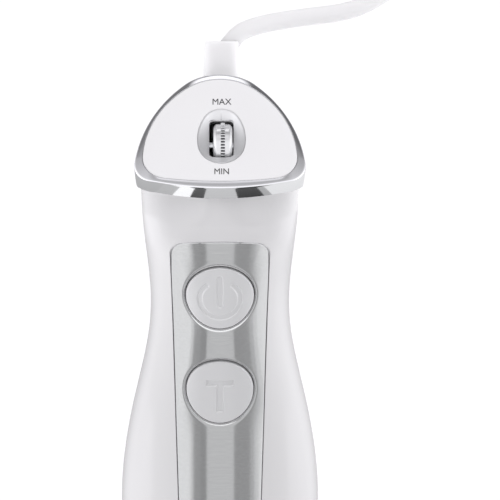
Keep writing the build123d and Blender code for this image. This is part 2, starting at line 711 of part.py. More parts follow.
dog = sleeve(DOG_RADIUS, DOG_BORE, dog_low, dog_high - DOG_FLOOR)
dog += sleeve(DOG_RADIUS, SHAFT_RADIUS, dog_high - DOG_FLOOR, dog_high)
for start in (90, 270):
    dog += sector(JAW_INNER, (DOG_BORE + DOG_RADIUS) / 2, dog_low, dog_high - DOG_FLOOR / 2,
                  start - JAW_ANGLE / 2, JAW_ANGLE)
parts["drive_dog"] = dog

# Stator with two wound poles
bore = ARMATURE_RADIUS + AIR_GAP
yoke_inner = STATOR_RADIUS - YOKE_WIDTH
stator = sleeve(STATOR_RADIUS, yoke_inner, stack_low, stack_high)
pole = block((-POLE_HALF_WIDTH, POLE_HALF_WIDTH), (0, yoke_inner + YOKE_WIDTH / 2), (stack_low, stack_high))
pole -= rod(bore, stack_low, stack_high)
stator += pole + mirror(pole, Plane.XZ)
motor_screw_x = POST_OUTER - POST_WIDTH / 2
for side in (-1, 1):
    stator -= rod(MOTOR_SCREW_RADIUS + HOLE_CLEARANCE, stack_low, stack_high, side * motor_screw_x)
parts["motor_stator"] = stator
coil_outer = POLE_HALF_WIDTH + COIL_SIDE
coil_back = sqrt((yoke_inner - COIL_CLEARANCE) ** 2 - coil_outer ** 2)
coil_span = (coil_back - COIL_DEPTH, coil_back)
field = block((-coil_outer, coil_outer), coil_span, (stack_low - COIL_SIDE, stack_high + COIL_SIDE))
field -= block((-POLE_HALF_WIDTH, POLE_HALF_WIDTH), coil_span, (stack_low, stack_high))
parts["field_coils"] = Compound(children=[field, mirror(field, Plane.XZ)])

# Bearing brackets, bearings, brushes, long screws and rubber cushions
post_x = (POST_OUTER - POST_WIDTH, POST_OUTER)
post_y = (-BRACKET_HALF_WIDTH, BRACKET_HALF_WIDTH)


def bearing_bracket(bar_low, bar_high, post_low, post_high, hub_low, hub_high, bearing_low):
    """Bar across the motor with two posts against the stator and a hub for the bearing."""
    bracket = block((-POST_OUTER, POST_OUTER), post_y, (bar_low, bar_high))
    post = block(post_x, post_y, (post_low, post_high))
    bracket += post + mirror(post, Plane.YZ) + rod(hub_radius, hub_low, hub_high)
    bracket -= rod(BEARING_RADIUS, bearing_low, bearing_low + BEARING_WIDTH)
    bracket -= rod(SHAFT_RADIUS + HUB_WALL, hub_low, hub_high)
    for side in (-1, 1):
        bracket -= rod(MOTOR_SCREW_RADIUS + HOLE_CLEARANCE, post_low, post_high, side * motor_screw_x)
        bracket -= rod(MOTOR_SCREW_RADIUS + HOLE_CLEARANCE, bar_low, bar_high, side * motor_screw_x)
    return bracket


upper_bearing_low = upper_hub_high - BEARING_WIDTH
parts["upper_bracket"] = bearing_bracket(
    upper_bracket_low, upper_hub_low, stack_high, upper_bracket_low,
    upper_bracket_low, upper_hub_high, upper_bearing_low)
lower_bearing_low = motor_low
parts["lower_bracket"] = bearing_bracket(
    lower_bracket_high - BRACKET_THICK, lower_bracket_high, lower_bracket_high, stack_low,
    motor_low, lower_bracket_high, lower_bearing_low)
bearing_bore = SHAFT_RADIUS + RUNNING_CLEARANCE
for name, low in (("upper_bearing", upper_bearing_low), ("lower_bearing", lower_bearing_low)):
    bearing = sleeve(BEARING_RADIUS, bearing_bore, low, low + BEARING_WIDTH)
    shield = sleeve(BEARING_RADIUS - SHIELD_INSET, bearing_bore + SHIELD_INSET, low, low + SHIELD_DEPTH)
    parts[name] = bearing - shield - Pos(0, 0, BEARING_WIDTH - SHIELD_DEPTH) * shield
upper_cushion_low = upper_hub_high - CUSHION_HEIGHT
parts["motor_cushion_upper"] = sleeve(cushion_radius, hub_radius, upper_cushion_low, upper_hub_high)
parts["motor_cushion_lower"] = sleeve(cushion_radius, hub_radius, motor_low, motor_low + BRACKET_THICK)

brush_middle = (commutator_low + commutator_high) / 2
brush_front = COMMUTATOR_RADIUS + BRUSH_CLEARANCE
brush_z = (brush_middle - BRUSH_HEIGHT / 2, brush_middle + BRUSH_HEIGHT / 2)
brush = block((-BRUSH_WIDTH / 2, BRUSH_WIDTH / 2), (brush_front, brush_front + BRUSH_LENGTH), brush_z)
parts["carbon_brushes"] = Compound(children=[brush, mirror(brush, Plane.XZ)])
holder_half = BRUSH_WIDTH / 2 + HOLDER_WALL
holder_y = (brush_front + HOLDER_SETBACK, brush_front + BRUSH_LENGTH + HOLDER_WALL)
holder = block((-holder_half, holder_half), holder_y, (brush_z[0] - HOLDER_WALL, upper_bracket_low))
holder -= block((-BRUSH_WIDTH / 2, BRUSH_WIDTH / 2), (brush_front, brush_front + BRUSH_LENGTH), brush_z)
parts["brush_holders"] = Compound(children=[holder, mirror(holder, Plane.XZ)])

motor_screws = []
for side in (-1, 1):
    x = side * motor_screw_x
    screw = rod(MOTOR_SCREW_RADIUS, lower_bracket_high - BRACKET_THICK, upper_hub_low, x)
    screw += rod(SCREW_HEAD_RADIUS, upper_hub_low, upper_hub_low + SCREW_HEAD_HEIGHT, x)
    motor_screws.append(screw)
parts["motor_screws"] = Compound(children=motor_screws)

# Bottom cap: closes the shells, carries the lower cushion and the slotted nose for the leg
cap_low = body_low - CAP_FLANGE
cap_radius = BODY_STATIONS[0][1] - CAP_EDGE_INSET
nose_low = cap_low - NOSE_LENGTH
cap = sleeve(cap_radius, CAP_BORE, cap_low, body_low)
cap += sleeve(cushion_radius + WALL, CAP_BORE, body_low, motor_low)
cap += sleeve(cushion_radius + WALL, cushion_radius, motor_low, motor_low + BRACKET_THICK)
cap += sleeve(NOSE_RADIUS, NOSE_RADIUS - NOSE_WALL, nose_low, cap_low)
lug_low = nose_low + LUG_RISE
slot_inner = NOSE_RADIUS - LUG_REACH - LOCK_CLEARANCE
slot_margin = degrees(LOCK_CLEARANCE / slot_inner)
for index in range(LUG_COUNT):
    start = 360 * index / LUG_COUNT - LUG_ANGLE / 2
    cap -= sector(slot_inner, NOSE_RADIUS + NOSE_WALL, lug_low - LOCK_CLEARANCE,
                  lug_low + LUG_HEIGHT + LOCK_CLEARANCE,
                  start - slot_margin, LUG_ANGLE + TWIST_ANGLE + 2 * slot_margin)
    cap -= sector(slot_inner, NOSE_RADIUS + NOSE_WALL, nose_low, lug_low + LUG_HEIGHT,
                  start + TWIST_ANGLE - slot_margin, LUG_ANGLE + 2 * slot_margin)
for x, y in cap_screw_places:
    cap -= rod(SCREW_RADIUS + HOLE_CLEARANCE, cap_low, body_low, x, y)
    cap -= rod(SCREW_HEAD_RADIUS + HOLE_CLEARANCE, cap_low, cap_screw_low, x, y)
parts["bottom_cap"] = cap

# Leg collar with the lugs of the twist lock
collar_high = cap_low - COLLAR_GAP
collar_low = collar_high - COLLAR_LENGTH
socket_radius = NOSE_RADIUS + LOCK_CLEARANCE
socket_low = nose_low - GASKET_HEIGHT - LOCK_CLEARANCE
tube_high = collar_low + TUBE_INSERT
collar_foot = TUBE_RADIUS + COLLAR_WALL_BOTTOM
collar_profile = [
    Line((0, 0, collar_low), (collar_foot, 0, collar_low)),
    Spline((collar_foot, 0, collar_low), (cap_radius, 0, collar_high),
           tangents=[(COLLAR_FOOT_FLARE, 0, 1), (COLLAR_TOP_FLARE, 0, 1)]),
    Line((cap_radius, 0, collar_high), (0, 0, collar_high)),
    Line((0, 0, collar_high), (0, 0, collar_low)),
]
collar = revolve(make_face(collar_profile), Axis.Z)
collar -= rod(socket_radius, socket_low, collar_high)
collar -= rod(TUBE_RADIUS, collar_low, tube_high)
collar -= rod(DOG_RADIUS, tube_high, socket_low)
for index in range(LUG_COUNT):
    start = 360 * index / LUG_COUNT - LUG_ANGLE / 2
    collar += sector(NOSE_RADIUS - LUG_REACH, socket_radius + LUG_REACH / 2, lug_low, lug_low + LUG_HEIGHT,
                     start, LUG_ANGLE)
parts["leg_collar"] = collar
gasket_high = socket_low + GASKET_HEIGHT
parts["collar_seal"] = sleeve(socket_radius, NOSE_RADIUS - NOSE_WALL, socket_low, gasket_high)

# Leg tube, its two shaft bushes and the lip seal above the blade
tube_low = GUARD_HEIGHT
tube_inner = TUBE_RADIUS - TUBE_WALL
parts["leg_tube"] = sleeve(TUBE_RADIUS, tube_inner, tube_low, tube_high)
bush_bore = DRIVE_SHAFT_RADIUS + RUNNING_CLEARANCE
parts["leg_upper_bush"] = sleeve(tube_inner, bush_bore, tube_high - BUSH_LENGTH, tube_high)
parts["leg_lower_bush"] = sleeve(tube_inner, bush_bore, tube_low, tube_low + BUSH_LENGTH)
parts["shaft_seal"] = sleeve(SEAL_RADIUS, bush_bore, tube_low - SEAL_LENGTH, tube_low)

# Bell-shaped blade guard with arches in its rim


def bell_profile(rim, throat, high):
    """Closed half section of a bell: upright rim, then a curve drawn in to the throat."""
    return make_face([
        Line((0, 0, 0), (rim, 0, 0)),
        Line((rim, 0, 0), (rim, 0, GUARD_RIM_HEIGHT)),
        Spline((rim, 0, GUARD_RIM_HEIGHT), (throat, 0, high),
               tangents=[(0, 0, 1), (-GUARD_THROAT_FLARE, 0, 1)]),
        Line((throat, 0, high), (0, 0, high)),
        Line((0, 0, high), (0, 0, 0)),
    ])


shoulder = GUARD_HEIGHT - GUARD_WALL
guard = revolve(bell_profile(GUARD_RADIUS, TUBE_RADIUS, GUARD_HEIGHT), Axis.Z)
guard -= revolve(bell_profile(GUARD_RADIUS - GUARD_WALL, TUBE_RADIUS - GUARD_WALL, shoulder), Axis.Z)
guard -= rod(SEAL_RADIUS, shoulder, GUARD_HEIGHT)
for index in range(GUARD_ARCHES):
    arch = make_face([
        Line((0, -ARCH_HALF_WIDTH, 0), (0, ARCH_HALF_WIDTH, 0)),
        ThreePointArc((0, ARCH_HALF_WIDTH, 0), (0, 0, ARCH_HEIGHT), (0, -ARCH_HALF_WIDTH, 0)),
    ])
    guard -= Rot(0, 0, 360 * index / GUARD_ARCHES) * extrude(arch, 2 * GUARD_RADIUS, dir=(1, 0, 0))
parts["blade_guard"] = guard

# Drive shaft with the driven half of the coupling, the blade and its nut
driven_disc_high = dog_low - TANG_CLEARANCE
driven_high = driven_disc_high + TANG_HEIGHT
tang_radius = DOG_BORE - TANG_CLEARANCE
driven = rod(tang_radius, driven_disc_high - TANG_DISC, driven_disc_high)
driven += block((-tang_radius, tang_radius), (-TANG_WIDTH / 2, TANG_WIDTH / 2),
                (driven_disc_high, driven_high)) & rod(tang_radius, driven_disc_high, driven_high)
driven -= rod(DRIVE_SHAFT_RADIUS, driven_disc_high - TANG_DISC, driven_disc_high)
parts["driven_dog"] = driven
nut_low = BLADE_Z - NUT_HEIGHT
parts["drive_shaft"] = rod(DRIVE_SHAFT_RADIUS, nut_low, driven_disc_high)
nut = extrude(RegularPolygon(NUT_RADIUS, 6), NUT_HEIGHT)
parts["blade_nut"] = Pos(0, 0, nut_low) * nut - rod(DRIVE_SHAFT_RADIUS, nut_low, BLADE_Z)
wing_root = NUT_RADIUS + BLADE_CLEARANCE
wing_length = BLADE_REACH - wing_root
blade = rod(wing_root + BLADE_THICK, BLADE_Z, BLADE_Z + BLADE_THICK)
edge_y = -BLADE_WIDTH / 2
wing_face = make_face([
    Line((0, edge_y, 0), (wing_length / 2, edge_y, 0)),
    TangentArc((wing_length / 2, edge_y, 0), (wing_length, BLADE_TIP_Y, 0), tangent=(1, 0, 0)),
    Line((wing_length, BLADE_TIP_Y, 0), (0, BLADE_BACK_Y, 0)),
    Line((0, BLADE_BACK_Y, 0), (0, edge_y, 0)),
])
wing = extrude(wing_face, BLADE_THICK)
for turn, lift in ((0, BLADE_LIFT), (180, -BLADE_LIFT)):
    blade += Rot(0, 0, turn) * Pos(wing_root, 0, BLADE_Z) * Rot(0, -lift, 0) * wing
blade -= rod(DRIVE_SHAFT_RADIUS, 0, GUARD_HEIGHT)
parts["blade"] = blade

# Terminal block on the back of the board, where the lead's wires end
board_back = BOARD_Y + BOARD_THICK
terminal_x = (-TERMINAL_WIDTH / 2, TERMINAL_WIDTH / 2)
terminal_z = (POWER_Z - TERMINAL_HEIGHT / 2, POWER_Z + TERMINAL_HEIGHT / 2)
parts["terminal_block"] = block(terminal_x, (board_back, board_back + TERMINAL_DEPTH), terminal_z)

# Strain relief boot in the spout
boot = turned((0, -BOOT_LENGTH), (BOOT_BASE_RADIUS, -BOOT_LENGTH),
              (BOOT_BASE_RADIUS, -SPOUT_DROP - BOOT_LEDGE), (BOOT_END_RADIUS, 0), (0, 0))
parts["cord_boot"] = boot_place * boot


# Mains lead: free stretch, coil, tail, tie and plug


def lead_tube(path, start, direction):
    """Round lead carried along a path, checked by its section times its length."""
    section = Plane(start, z_dir=direction) * Circle(CORD_RADIUS)
    tube = sweep(section, path=path)
    expected = pi * CORD_RADIUS ** 2 * path.length
    print("lead volume", round(tube.volume), "section times length", round(expected))
    return tube


def rounded_path(points):
    """Straight runs with an arc at every corner, as large as the shorter run allows."""
    points = [Vector(*point) for point in points]
    radii = []
    for before, corner, after in zip(points, points[1:], points[2:]):
        turn = radians((corner - before).get_angle(after - corner))
        shorter = min((corner - before).length, (after - corner).length)
        radii.append(BEND_SHARE * shorter / tan(turn / 2))
    print("lead radii", [round(radius) for radius in radii])
    return FilletPolyline(*points, radius=radii)


route = [Vector(*point) for point in CORD_ROUTE]
parts["power_cord"] = lead_tube(rounded_path(CORD_ROUTE), route[0], route[1] - route[0])

cord_width = 2 * CORD_RADIUS
coil_start = route[-1]
coil_radii = []
for step in range(2 * COIL_HALF_TURNS + 1):
    inward = COIL_HALF_TURNS - abs(step - COIL_HALF_TURNS)
    coil_radii.append(COIL_OUTER - COIL_STEP * inward)
corner = coil_start - Vector(0, cord_width, 0)
coil_edges = [Line(coil_start, corner)]
coil_points = [coil_start, corner]
side = -1
for index, radius in enumerate(coil_radii):
    climb = COIL_LAYER if index == COIL_HALF_TURNS else 0.0
    half_span = sqrt(radius ** 2 - (climb / 2) ** 2)
    far = corner + Vector(side * 2 * half_span, 0, climb)
    centre = (corner + far) / 2
    crest = centre + Vector(0, side * radius, 0)
    coil_edges.append(ThreePointArc(corner, crest, far))
    for step in range(POINTS_PER_HALF_TURN):
        angle = pi * (step + 1) / POINTS_PER_HALF_TURN
        coil_points.append(centre + (corner - centre) * cos(angle) + (crest - centre) * sin(angle))
    corner = far
    side = -side
coil_end = corner + Vector(0, cord_width, 0)
coil_edges.append(Line(corner, coil_end))
coil_points.append(coil_end)
parts["cord_coil"] = lead_tube(Wire(coil_edges), coil_start, (0, -1, 0))
apart = int(NEIGHBOUR_SPAN * cord_width * POINTS_PER_HALF_TURN / (pi * COIL_OUTER)) + 1
gaps = [
    (coil_points[i] - coil_points[j]).length
    for i in range(len(coil_points)) for j in range(i + apart, len(coil_points))
]
print("least gap between coil turns", round(min(gaps) - cord_width, 2))

plug_axis_z = PLUG_THICK / 2
tail_points = [coil_end]
tail_levels = (coil_end.Z, plug_axis_z, plug_axis_z)
for run, level in zip(TAIL_RUNS, tail_levels):
    tail_points.append(Vector(coil_end.X, tail_points[-1].Y + run, level))
parts["cord_tail"] = lead_tube(rounded_path([tuple(p) for p in tail_points]), coil_end, (0, 1, 0))

front_centre = coil_start.X - COIL_OUTER
inner_turn = COIL_OUTER - 2 * COIL_STEP - CORD_RADIUS
inner_front = sqrt(inner_turn ** 2 - (COIL_STEP + TIE_WIDTH / 2) ** 2) - TIE_CLEARANCE
outer_front = COIL_OUTER + CORD_RADIUS + TIE_CLEARANCE
tie_x = front_centre - COIL_STEP
tie_y = (coil_start.Y - cord_width - outer_front, coil_start.Y - cord_width - inner_front)
tie_z = (coil_start.Z - CORD_RADIUS - TIE_CLEARANCE / 2,
         coil_start.Z + COIL_LAYER + CORD_RADIUS + TIE_CLEARANCE)
tie = block((tie_x - TIE_WIDTH / 2, tie_x + TIE_WIDTH / 2), (tie_y[0] - TIE_THICK, tie_y[1] + TIE_THICK),
            (tie_z[0] - TIE_THICK, tie_z[1] + TIE_THICK))
tie -= block((tie_x - TIE_WIDTH, tie_x + TIE_WIDTH), tie_y, tie_z)
parts["cord_tie"] = tie

plug_start = tail_points[-1]
plug_place = Pos(plug_start.X, plug_start.Y, plug_axis_z)
half = PLUG_WIDTH / 2
neck = PLUG_NECK_WIDTH / 2
plug_face = make_face(Polyline(
    (-neck, PLUG_RELIEF_LENGTH), (neck, PLUG_RELIEF_LENGTH), (half, PLUG_RELIEF_LENGTH + PLUG_LENGTH / 2),
    (half, PLUG_RELIEF_LENGTH + PLUG_LENGTH), (-half, PLUG_RELIEF_LENGTH + PLUG_LENGTH),
    (-half, PLUG_RELIEF_LENGTH + PLUG_LENGTH / 2), close=True))
plug = extrude(plug_face, PLUG_THICK / 2, both=True)
plug = fillet(plug.edges(), PLUG_EDGE)
relief_end = PLUG_RELIEF_LENGTH + PLUG_EDGE
relief = turned((0, 0), (CORD_RADIUS + RELIEF_WALL, 0), (neck - RELIEF_INSET, relief_end), (0, relief_end))
plug += Rot(-90, 0, 0) * relief
pin_y = PLUG_RELIEF_LENGTH + PLUG_LENGTH
pins = []
for side in (-1, 1):
    pin = Rot(-90, 0, 0) * rod(PIN_RADIUS, pin_y, pin_y + PIN_LENGTH)
    pin = fillet(pin.edges().sort_by(Axis.Y)[-1], PIN_TIP_RADIUS)
    pins.append(plug_place * Pos(side * PIN_SPACING / 2, 0, 0) * pin)
parts["plug_body"] = plug_place * plug
parts["plug_pins"] = Compound(children=pins)

os.makedirs("parts", exist_ok=True)
for name, shape in parts.items():
    export_step(shape, "parts/" + name + ".step")
print(len(parts), "nodes written")
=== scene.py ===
"""Immersion blender as photographed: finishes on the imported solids, finer surfaces where it is seen close."""
import math

import bmesh
import bpy
import numpy as np
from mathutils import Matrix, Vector


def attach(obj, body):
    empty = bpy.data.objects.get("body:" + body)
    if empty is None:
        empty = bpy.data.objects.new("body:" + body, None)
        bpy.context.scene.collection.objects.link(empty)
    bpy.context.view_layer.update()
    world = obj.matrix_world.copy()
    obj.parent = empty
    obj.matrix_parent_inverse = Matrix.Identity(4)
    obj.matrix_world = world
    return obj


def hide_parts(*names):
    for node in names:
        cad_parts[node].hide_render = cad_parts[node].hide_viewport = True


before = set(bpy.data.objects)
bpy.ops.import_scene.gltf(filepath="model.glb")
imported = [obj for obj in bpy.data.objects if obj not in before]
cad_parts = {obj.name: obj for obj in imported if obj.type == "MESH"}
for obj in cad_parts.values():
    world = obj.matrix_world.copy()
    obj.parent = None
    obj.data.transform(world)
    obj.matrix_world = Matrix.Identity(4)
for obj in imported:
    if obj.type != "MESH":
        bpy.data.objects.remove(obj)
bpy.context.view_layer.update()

# View
# The photograph looks down at 24 degrees through a long lens. It shows the upper half of the blender,
# set a little to the left.
view_height = math.radians(24.0)
view_distance = 0.8
view_target = Vector((0.0, 0.0, 0.3353))
view_back = Vector((0.0, -math.cos(view_height), math.sin(view_height)))
photo_width, focal_pixels = 500, 2224


def add_object(name, data):
    """New object of some data, linked into the scene."""
    added = bpy.data.objects.new(name, data)
    bpy.context.scene.collection.objects.link(added)
    return added


camera = bpy.data.cameras.new("photo_camera")
camera.sensor_width = 36.0
camera.lens = camera.sensor_width * focal_pixels / photo_width
camera.shift_x = 0.0601
eye = add_object("photo_camera", camera)
eye.location = view_target + view_distance * view_back
eye.rotation_mode = "QUATERNION"
eye.rotation_quaternion = (-view_back).to_track_quat("-Z", "Y")
bpy.context.scene.camera = eye

# Motor
# The universal motor inside the body: stacked iron sheets, wound copper, a copper commutator with
# carbon brushes, ground steel shafts and bearings, all held by moulded brackets.


class Value:
    """A socket of a node tree. Arithmetic on values adds Math nodes, and node() adds any other kind."""

    def __init__(self, socket):
        self.socket = socket
        self.tree = socket.id_data

    def node(self, kind, sockets, output=0, **settings):
        """Add a node with its settings, feed its sockets with values or links, and give one output."""
        added = self.tree.nodes.new("ShaderNode" + kind)
        for name, setting in settings.items():
            setattr(added, name, setting)
        for name, fed in sockets.items():
            if isinstance(fed, Value):
                self.tree.links.new(fed.socket, added.inputs[name])
            else:
                added.inputs[name].default_value = fed
        return Value(added.outputs[output])

    def math(self, operation, *others):
        """A Math node on this value and others."""
        return self.node("Math", dict(enumerate((self, *others))), operation=operation)

    def vector(self, operation, output, *others):
        """A Vector Math node on this value and others."""
        return self.node("VectorMath", dict(enumerate((self, *others))), output, operation=operation)

    def __add__(self, other):
        return self.math("ADD", other)

    def __sub__(self, other):
        return self.math("SUBTRACT", other)

    def __mul__(self, other):
        return self.math("MULTIPLY", other)

    def __rsub__(self, other):
        return self * -1 + other

    __radd__ = __add__
    __rmul__ = __mul__

    def cloud(self, scale, stretch=(1, 1, 1), detail=3.0):
        """Noise from 0 to 1 at a scale per metre, over a place whose axes are stretched first."""
        stretched = self.node("Mapping", {"Vector": self, "Scale": stretch})
        return self.node("TexNoise", {"Vector": stretched, "Scale": scale, "Detail": detail})

    def bands(self, scale):
        """Even bands from 0 to 1 up the z axis, at a scale per metre."""
        return self.node("TexWave", {"Vector": self, "Scale": scale}, 1,
                         wave_type="BANDS", bands_direction="Z")

    def step(self, low, high):
        """Smooth step from 0 to 1 as this value goes from low to high."""
        return self.node("MapRange", {"Value": self, "From Min": low, "From Max": high},
                         interpolation_type="SMOOTHSTEP")

    def span(self, low, high):
        """Number from low to high as this value goes from 0 to 1."""
        return self * (high - low) + low

    def between(self, first, second):
        """Colour from the first to the second as this value goes from 0 to 1."""
        ends = [end if isinstance(end, Value) else (*end, 1.0) for end in (first, second)]
        factor, low, high, mixed = 0, 6, 7, 2
        return self.node("Mix", {factor: self, low: ends[0], high: ends[1]}, mixed, data_type="RGBA")

    def relief(self, depth, edge):
        """Normal raised by this value times a depth, over edges rounded by a radius, both in metres."""
        rounded = self.node("Bevel", {"Radius": edge}, samples=4)
        return self.node("Bump", {"Height": self, "Distance": depth, "Normal": rounded})


def finish(name, constants, varied):
    """Material: constants on the shader, and varied(place) for its colour, roughness and normal."""
    material = bpy.data.materials.new(name)
    material.use_nodes = True
    tree = material.node_tree
    shader = tree.nodes["Principled BSDF"]
    for socket, constant in constants.items():
        shader.inputs[socket].default_value = constant
    place = Value(tree.nodes.new("ShaderNodeTexCoord").outputs["Object"])
    for socket, value in zip(("Base Color", "Roughness", "Normal"), varied(place)):
        tree.links.new(value.socket, shader.inputs[socket])
    return material


metal = {"Metallic": 1.0}
usual_edge = 0.0002
band_share, band_drift = 0.8, 120.0


def toned(name, tones, roughness, scale, depth, constants=None, stretch=(1, 1, 1), edge=usual_edge, finer=8):
    """Finish that drifts between two tones and two roughnesses, with a fine relief and rounded edges."""
    def varied(place):
        fine = place.cloud(finer * scale, stretch)
        return place.cloud(scale, stretch).between(*tones), fine.span(*roughness), fine.relief(depth, edge)
    return finish(name, constants or {}, varied)


def banded(name, tones, roughness, scale, depth):
    """Metal of even bands, as iron sheets in a stack or turns of wire on a coil."""
    def varied(place):
        band = place.bands(scale)
        return ((band * band_share + place.cloud(band_drift) * (1 - band_share)).between(*tones),
                band.span(*roughness), band.relief(depth, usual_edge))
    return finish(name, metal, varied)


def dress(material, *nodes):
    """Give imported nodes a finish."""
    for node in nodes:
        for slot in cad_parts[node].material_slots:
            slot.material = material


dress(banded("sheet_iron", ((0.10, 0.10, 0.11), (0.23, 0.23, 0.24)), (0.35, 0.55), 320.0, 0.00012),
      "motor_stator", "armature_core")
dress(banded("wound_copper", ((0.36, 0.11, 0.045), (0.85, 0.38, 0.19)), (0.25, 0.4), 290.0, 0.0002),
      "field_coils", "armature_winding")
dress(toned("bar_copper", ((0.72, 0.33, 0.17), (0.9, 0.48, 0.28)), (0.2, 0.38), 90.0, 0.00001,
            metal, (1, 1, 9)), "commutator")
dress(toned("brush_carbon", ((0.014, 0.014, 0.015), (0.04, 0.04, 0.043)), (0.5, 0.75), 400.0, 0.00003),
      "carbon_brushes")
dress(toned("ground_steel", ((0.52, 0.53, 0.55), (0.68, 0.69, 0.7)), (0.16, 0.3), 60.0, 0.000006,
            metal, (1, 1, 12)),
      "upper_bearing", "lower_bearing", "motor_shaft", "wheel_spindle", "drive_shaft")
dress(toned("screw_steel", ((0.4, 0.41, 0.43), (0.6, 0.6, 0.6)), (0.25, 0.42), 250.0, 0.00001, metal),
      "shell_screws", "motor_screws", "cap_screws")
dress(toned("black_moulding", ((0.014, 0.014, 0.015), (0.028, 0.028, 0.03)), (0.42, 0.6), 180.0, 0.00002),
      "brush_holders", "upper_bracket", "lower_bracket", "cooling_fan",
      "board_switches", "potentiometer", "wheel_bracket")
dress(toned("seal_rubber", ((0.02, 0.02, 0.021), (0.042, 0.042, 0.042)), (0.62, 0.8), 300.0, 0.00003),
      "motor_cushion_upper", "motor_cushion_lower", "collar_seal", "shaft_seal")

# Control board
# Glass fibre board behind the buttons, with a mask of green lacquer over its copper, a grey terminal block
# for the lead's wires and two rubber domes that push the buttons back.


def board_lacquer(place):
    """Green lacquer that is lighter over square copper runs, a few tenths of a millimetre wide."""
    runs = place.node("TexBrick", {"Vector": place, "Scale": 160.0, "Mortar Size": 0.06}, 1, offset=0.35)
    return (runs.between((0.012, 0.11, 0.045), (0.05, 0.26, 0.1)), 0.28 + place.cloud(900.0) * 0.12,
            runs.relief(0.00004, 0.0001))


dress(finish("lacquered_board", {"Coat Weight": 0.3}, board_lacquer), "control_board")
dress(toned("terminal_grey", ((0.33, 0.34, 0.35), (0.43, 0.44, 0.45)), (0.4, 0.55), 200.0, 0.00002),
      "terminal_block")
dress(toned("dome_silicone", ((0.5, 0.5, 0.49), (0.62, 0.62, 0.6)), (0.5, 0.66), 200.0, 0.00002,
            {"Subsurface Weight": 0.2, "Subsurface Radius": (0.002, 0.002, 0.002)}),
      "power_return_dome", "turbo_return_dome")

# Body shells
# Two halves of glossy white plastic, moulded in a polished tool, that meet at the sides and are screwed
# together under the steel panel. The grey cap below closes them.


def white_gloss(place):
    """Nearly even white with a faint drift and the slight waves of a moulding, and painted light at the neck
    that lifts the shade under the ring.
    """
    drift = place.cloud(14.0)
    waves = place.cloud(55.0, detail=1.0)
    specks = place.cloud(1500.0)
    # painted light: the neck just below the ring is coloured lighter to lift the shade that the ring's overhang
    # casts
    neck_painted_light = place.node("SeparateXYZ", {0: place}, "Z").step(0.33, 0.358)
    white = drift.between((0.61, 0.61, 0.613), (0.635, 0.635, 0.635))
    return (neck_painted_light.between(white, (0.7, 0.7, 0.703)), 0.2 + specks * 0.06,
            (waves + specks * 0.02).relief(0.00006, 0.0003))


dress(finish("white_plastic", {"IOR": 1.5, "Coat Weight": 0.15, "Coat Roughness": 0.08}, white_gloss),
      "front_shell", "rear_shell", "leg_collar")
dress(toned("cap_grey", ((0.35, 0.355, 0.36), (0.41, 0.415, 0.42)), (0.38, 0.52), 150.0, 0.00003),
      "bottom_cap", "drive_dog", "driven_dog")

# Steel panel
# Thin stainless sheet, brushed across, let flush into the front shell with a fine seam round it. Its edge
# is rolled inwards round the two button holes.
top_tilt = math.radians(35.0)
top_front_y, top_front_z = -0.028, 0.3723
top_line = -0.00165, [(0.10435, -76.5), (0.00735, 7.0), (0.05335, 48.3)]
ring_height = 0.005
body_stations = [
    (0.178, 0.0285, 0.0285), (0.192, 0.032, 0.0296), (0.212, 0.0358, 0.0302), (0.236, 0.037, 0.03),
    (0.257, 0.0351, 0.029), (0.275, 0.0318, 0.0278), (0.291, 0.0282, 0.0264), (0.304, 0.0259, 0.0256),
    (0.317, 0.0251, 0.0251),
]
neck_wide, neck_deep = 0.0257, 0.0246
neck_steps, neck_ease = 3, 1.5
body_inset = 0.0012
front_half, newton_steps, tiny = 0.03, 6, 1e-5
merge_distance, sharp_from = 2e-6, math.radians(38)
ray_end, halvings = 0.1, 40


def arc_chain(line):
    """Centres and radii of arcs that touch each other, from a start on the centre line round to it again.

    Each arc is given by its radius and by the degrees of the outline's normal where it ends. The next centre
    lies back along that normal by the difference of the two radii, and the last radius brings it to x = 0.
    """
    start, arcs = line
    centre = np.array([0.0, start + arcs[0][0]])
    centres, radii = [centre], [arcs[0][0]]
    for index, (radius, end) in enumerate(arcs):
        normal = np.array([math.cos(math.radians(end)), math.sin(math.radians(end))])
        last = index + 1 == len(arcs)
        following = radius + centre[0] / normal[0] if last else arcs[index + 1][0]
        centre = centre + normal * (radius - following)
        centres.append(centre)
        radii.append(following)
    return np.array(centres), np.array(radii)


def outline(line, angle, inset):
    """Points (x, y) where the outline's normal has given angles: arc centre plus radius less inset."""
    centres, radii = arc_chain(line)
    turn = np.arcsin(np.clip(np.sin(angle), -1, 1))
    side = np.where(np.cos(angle) < 0, -1.0, 1.0)
    which = np.searchsorted([math.radians(end) for radius, end in line[1]], turn)
    reach = radii[which] - inset
    return np.array([side * (centres[which, 0] + reach * np.cos(turn)),
                     centres[which, 1] + reach * np.sin(turn)])


def even_angles(line, count):
    """Normal angles at even steps of length round the whole outline, the first one repeated at the end."""
    radii = arc_chain(line)[1]
    ends = np.radians([-90.0, *[end for radius, end in line[1]], 90.0])
    lengths = np.concatenate([[0], np.cumsum(radii * np.diff(ends))])
    half = np.interp(np.linspace(0, lengths[-1], count // 2 + 1), lengths, ends)
    return np.concatenate([half, math.pi - half[-2::-1]])


def grid_of(x, y, z):
    """Points from coordinates that are repeated along each other's rows and columns."""
    return np.stack(np.broadcast_arrays(x, y, z), axis=-1)


def on_top(x, y, height):
    """Place on the sloping top from x across, y up the slope and the height above its face."""
    return grid_of(x, top_front_y + y * math.cos(top_tilt) - height * math.sin(top_tilt),
                   top_front_z + y * math.sin(top_tilt) + height * math.cos(top_tilt))


top_end = outline(top_line, np.array(math.pi / 2), 0.0)[1]
ring_middle = (top_end + top_line[0]) / 2
neck_end = on_top(0.0, ring_middle, -ring_height)


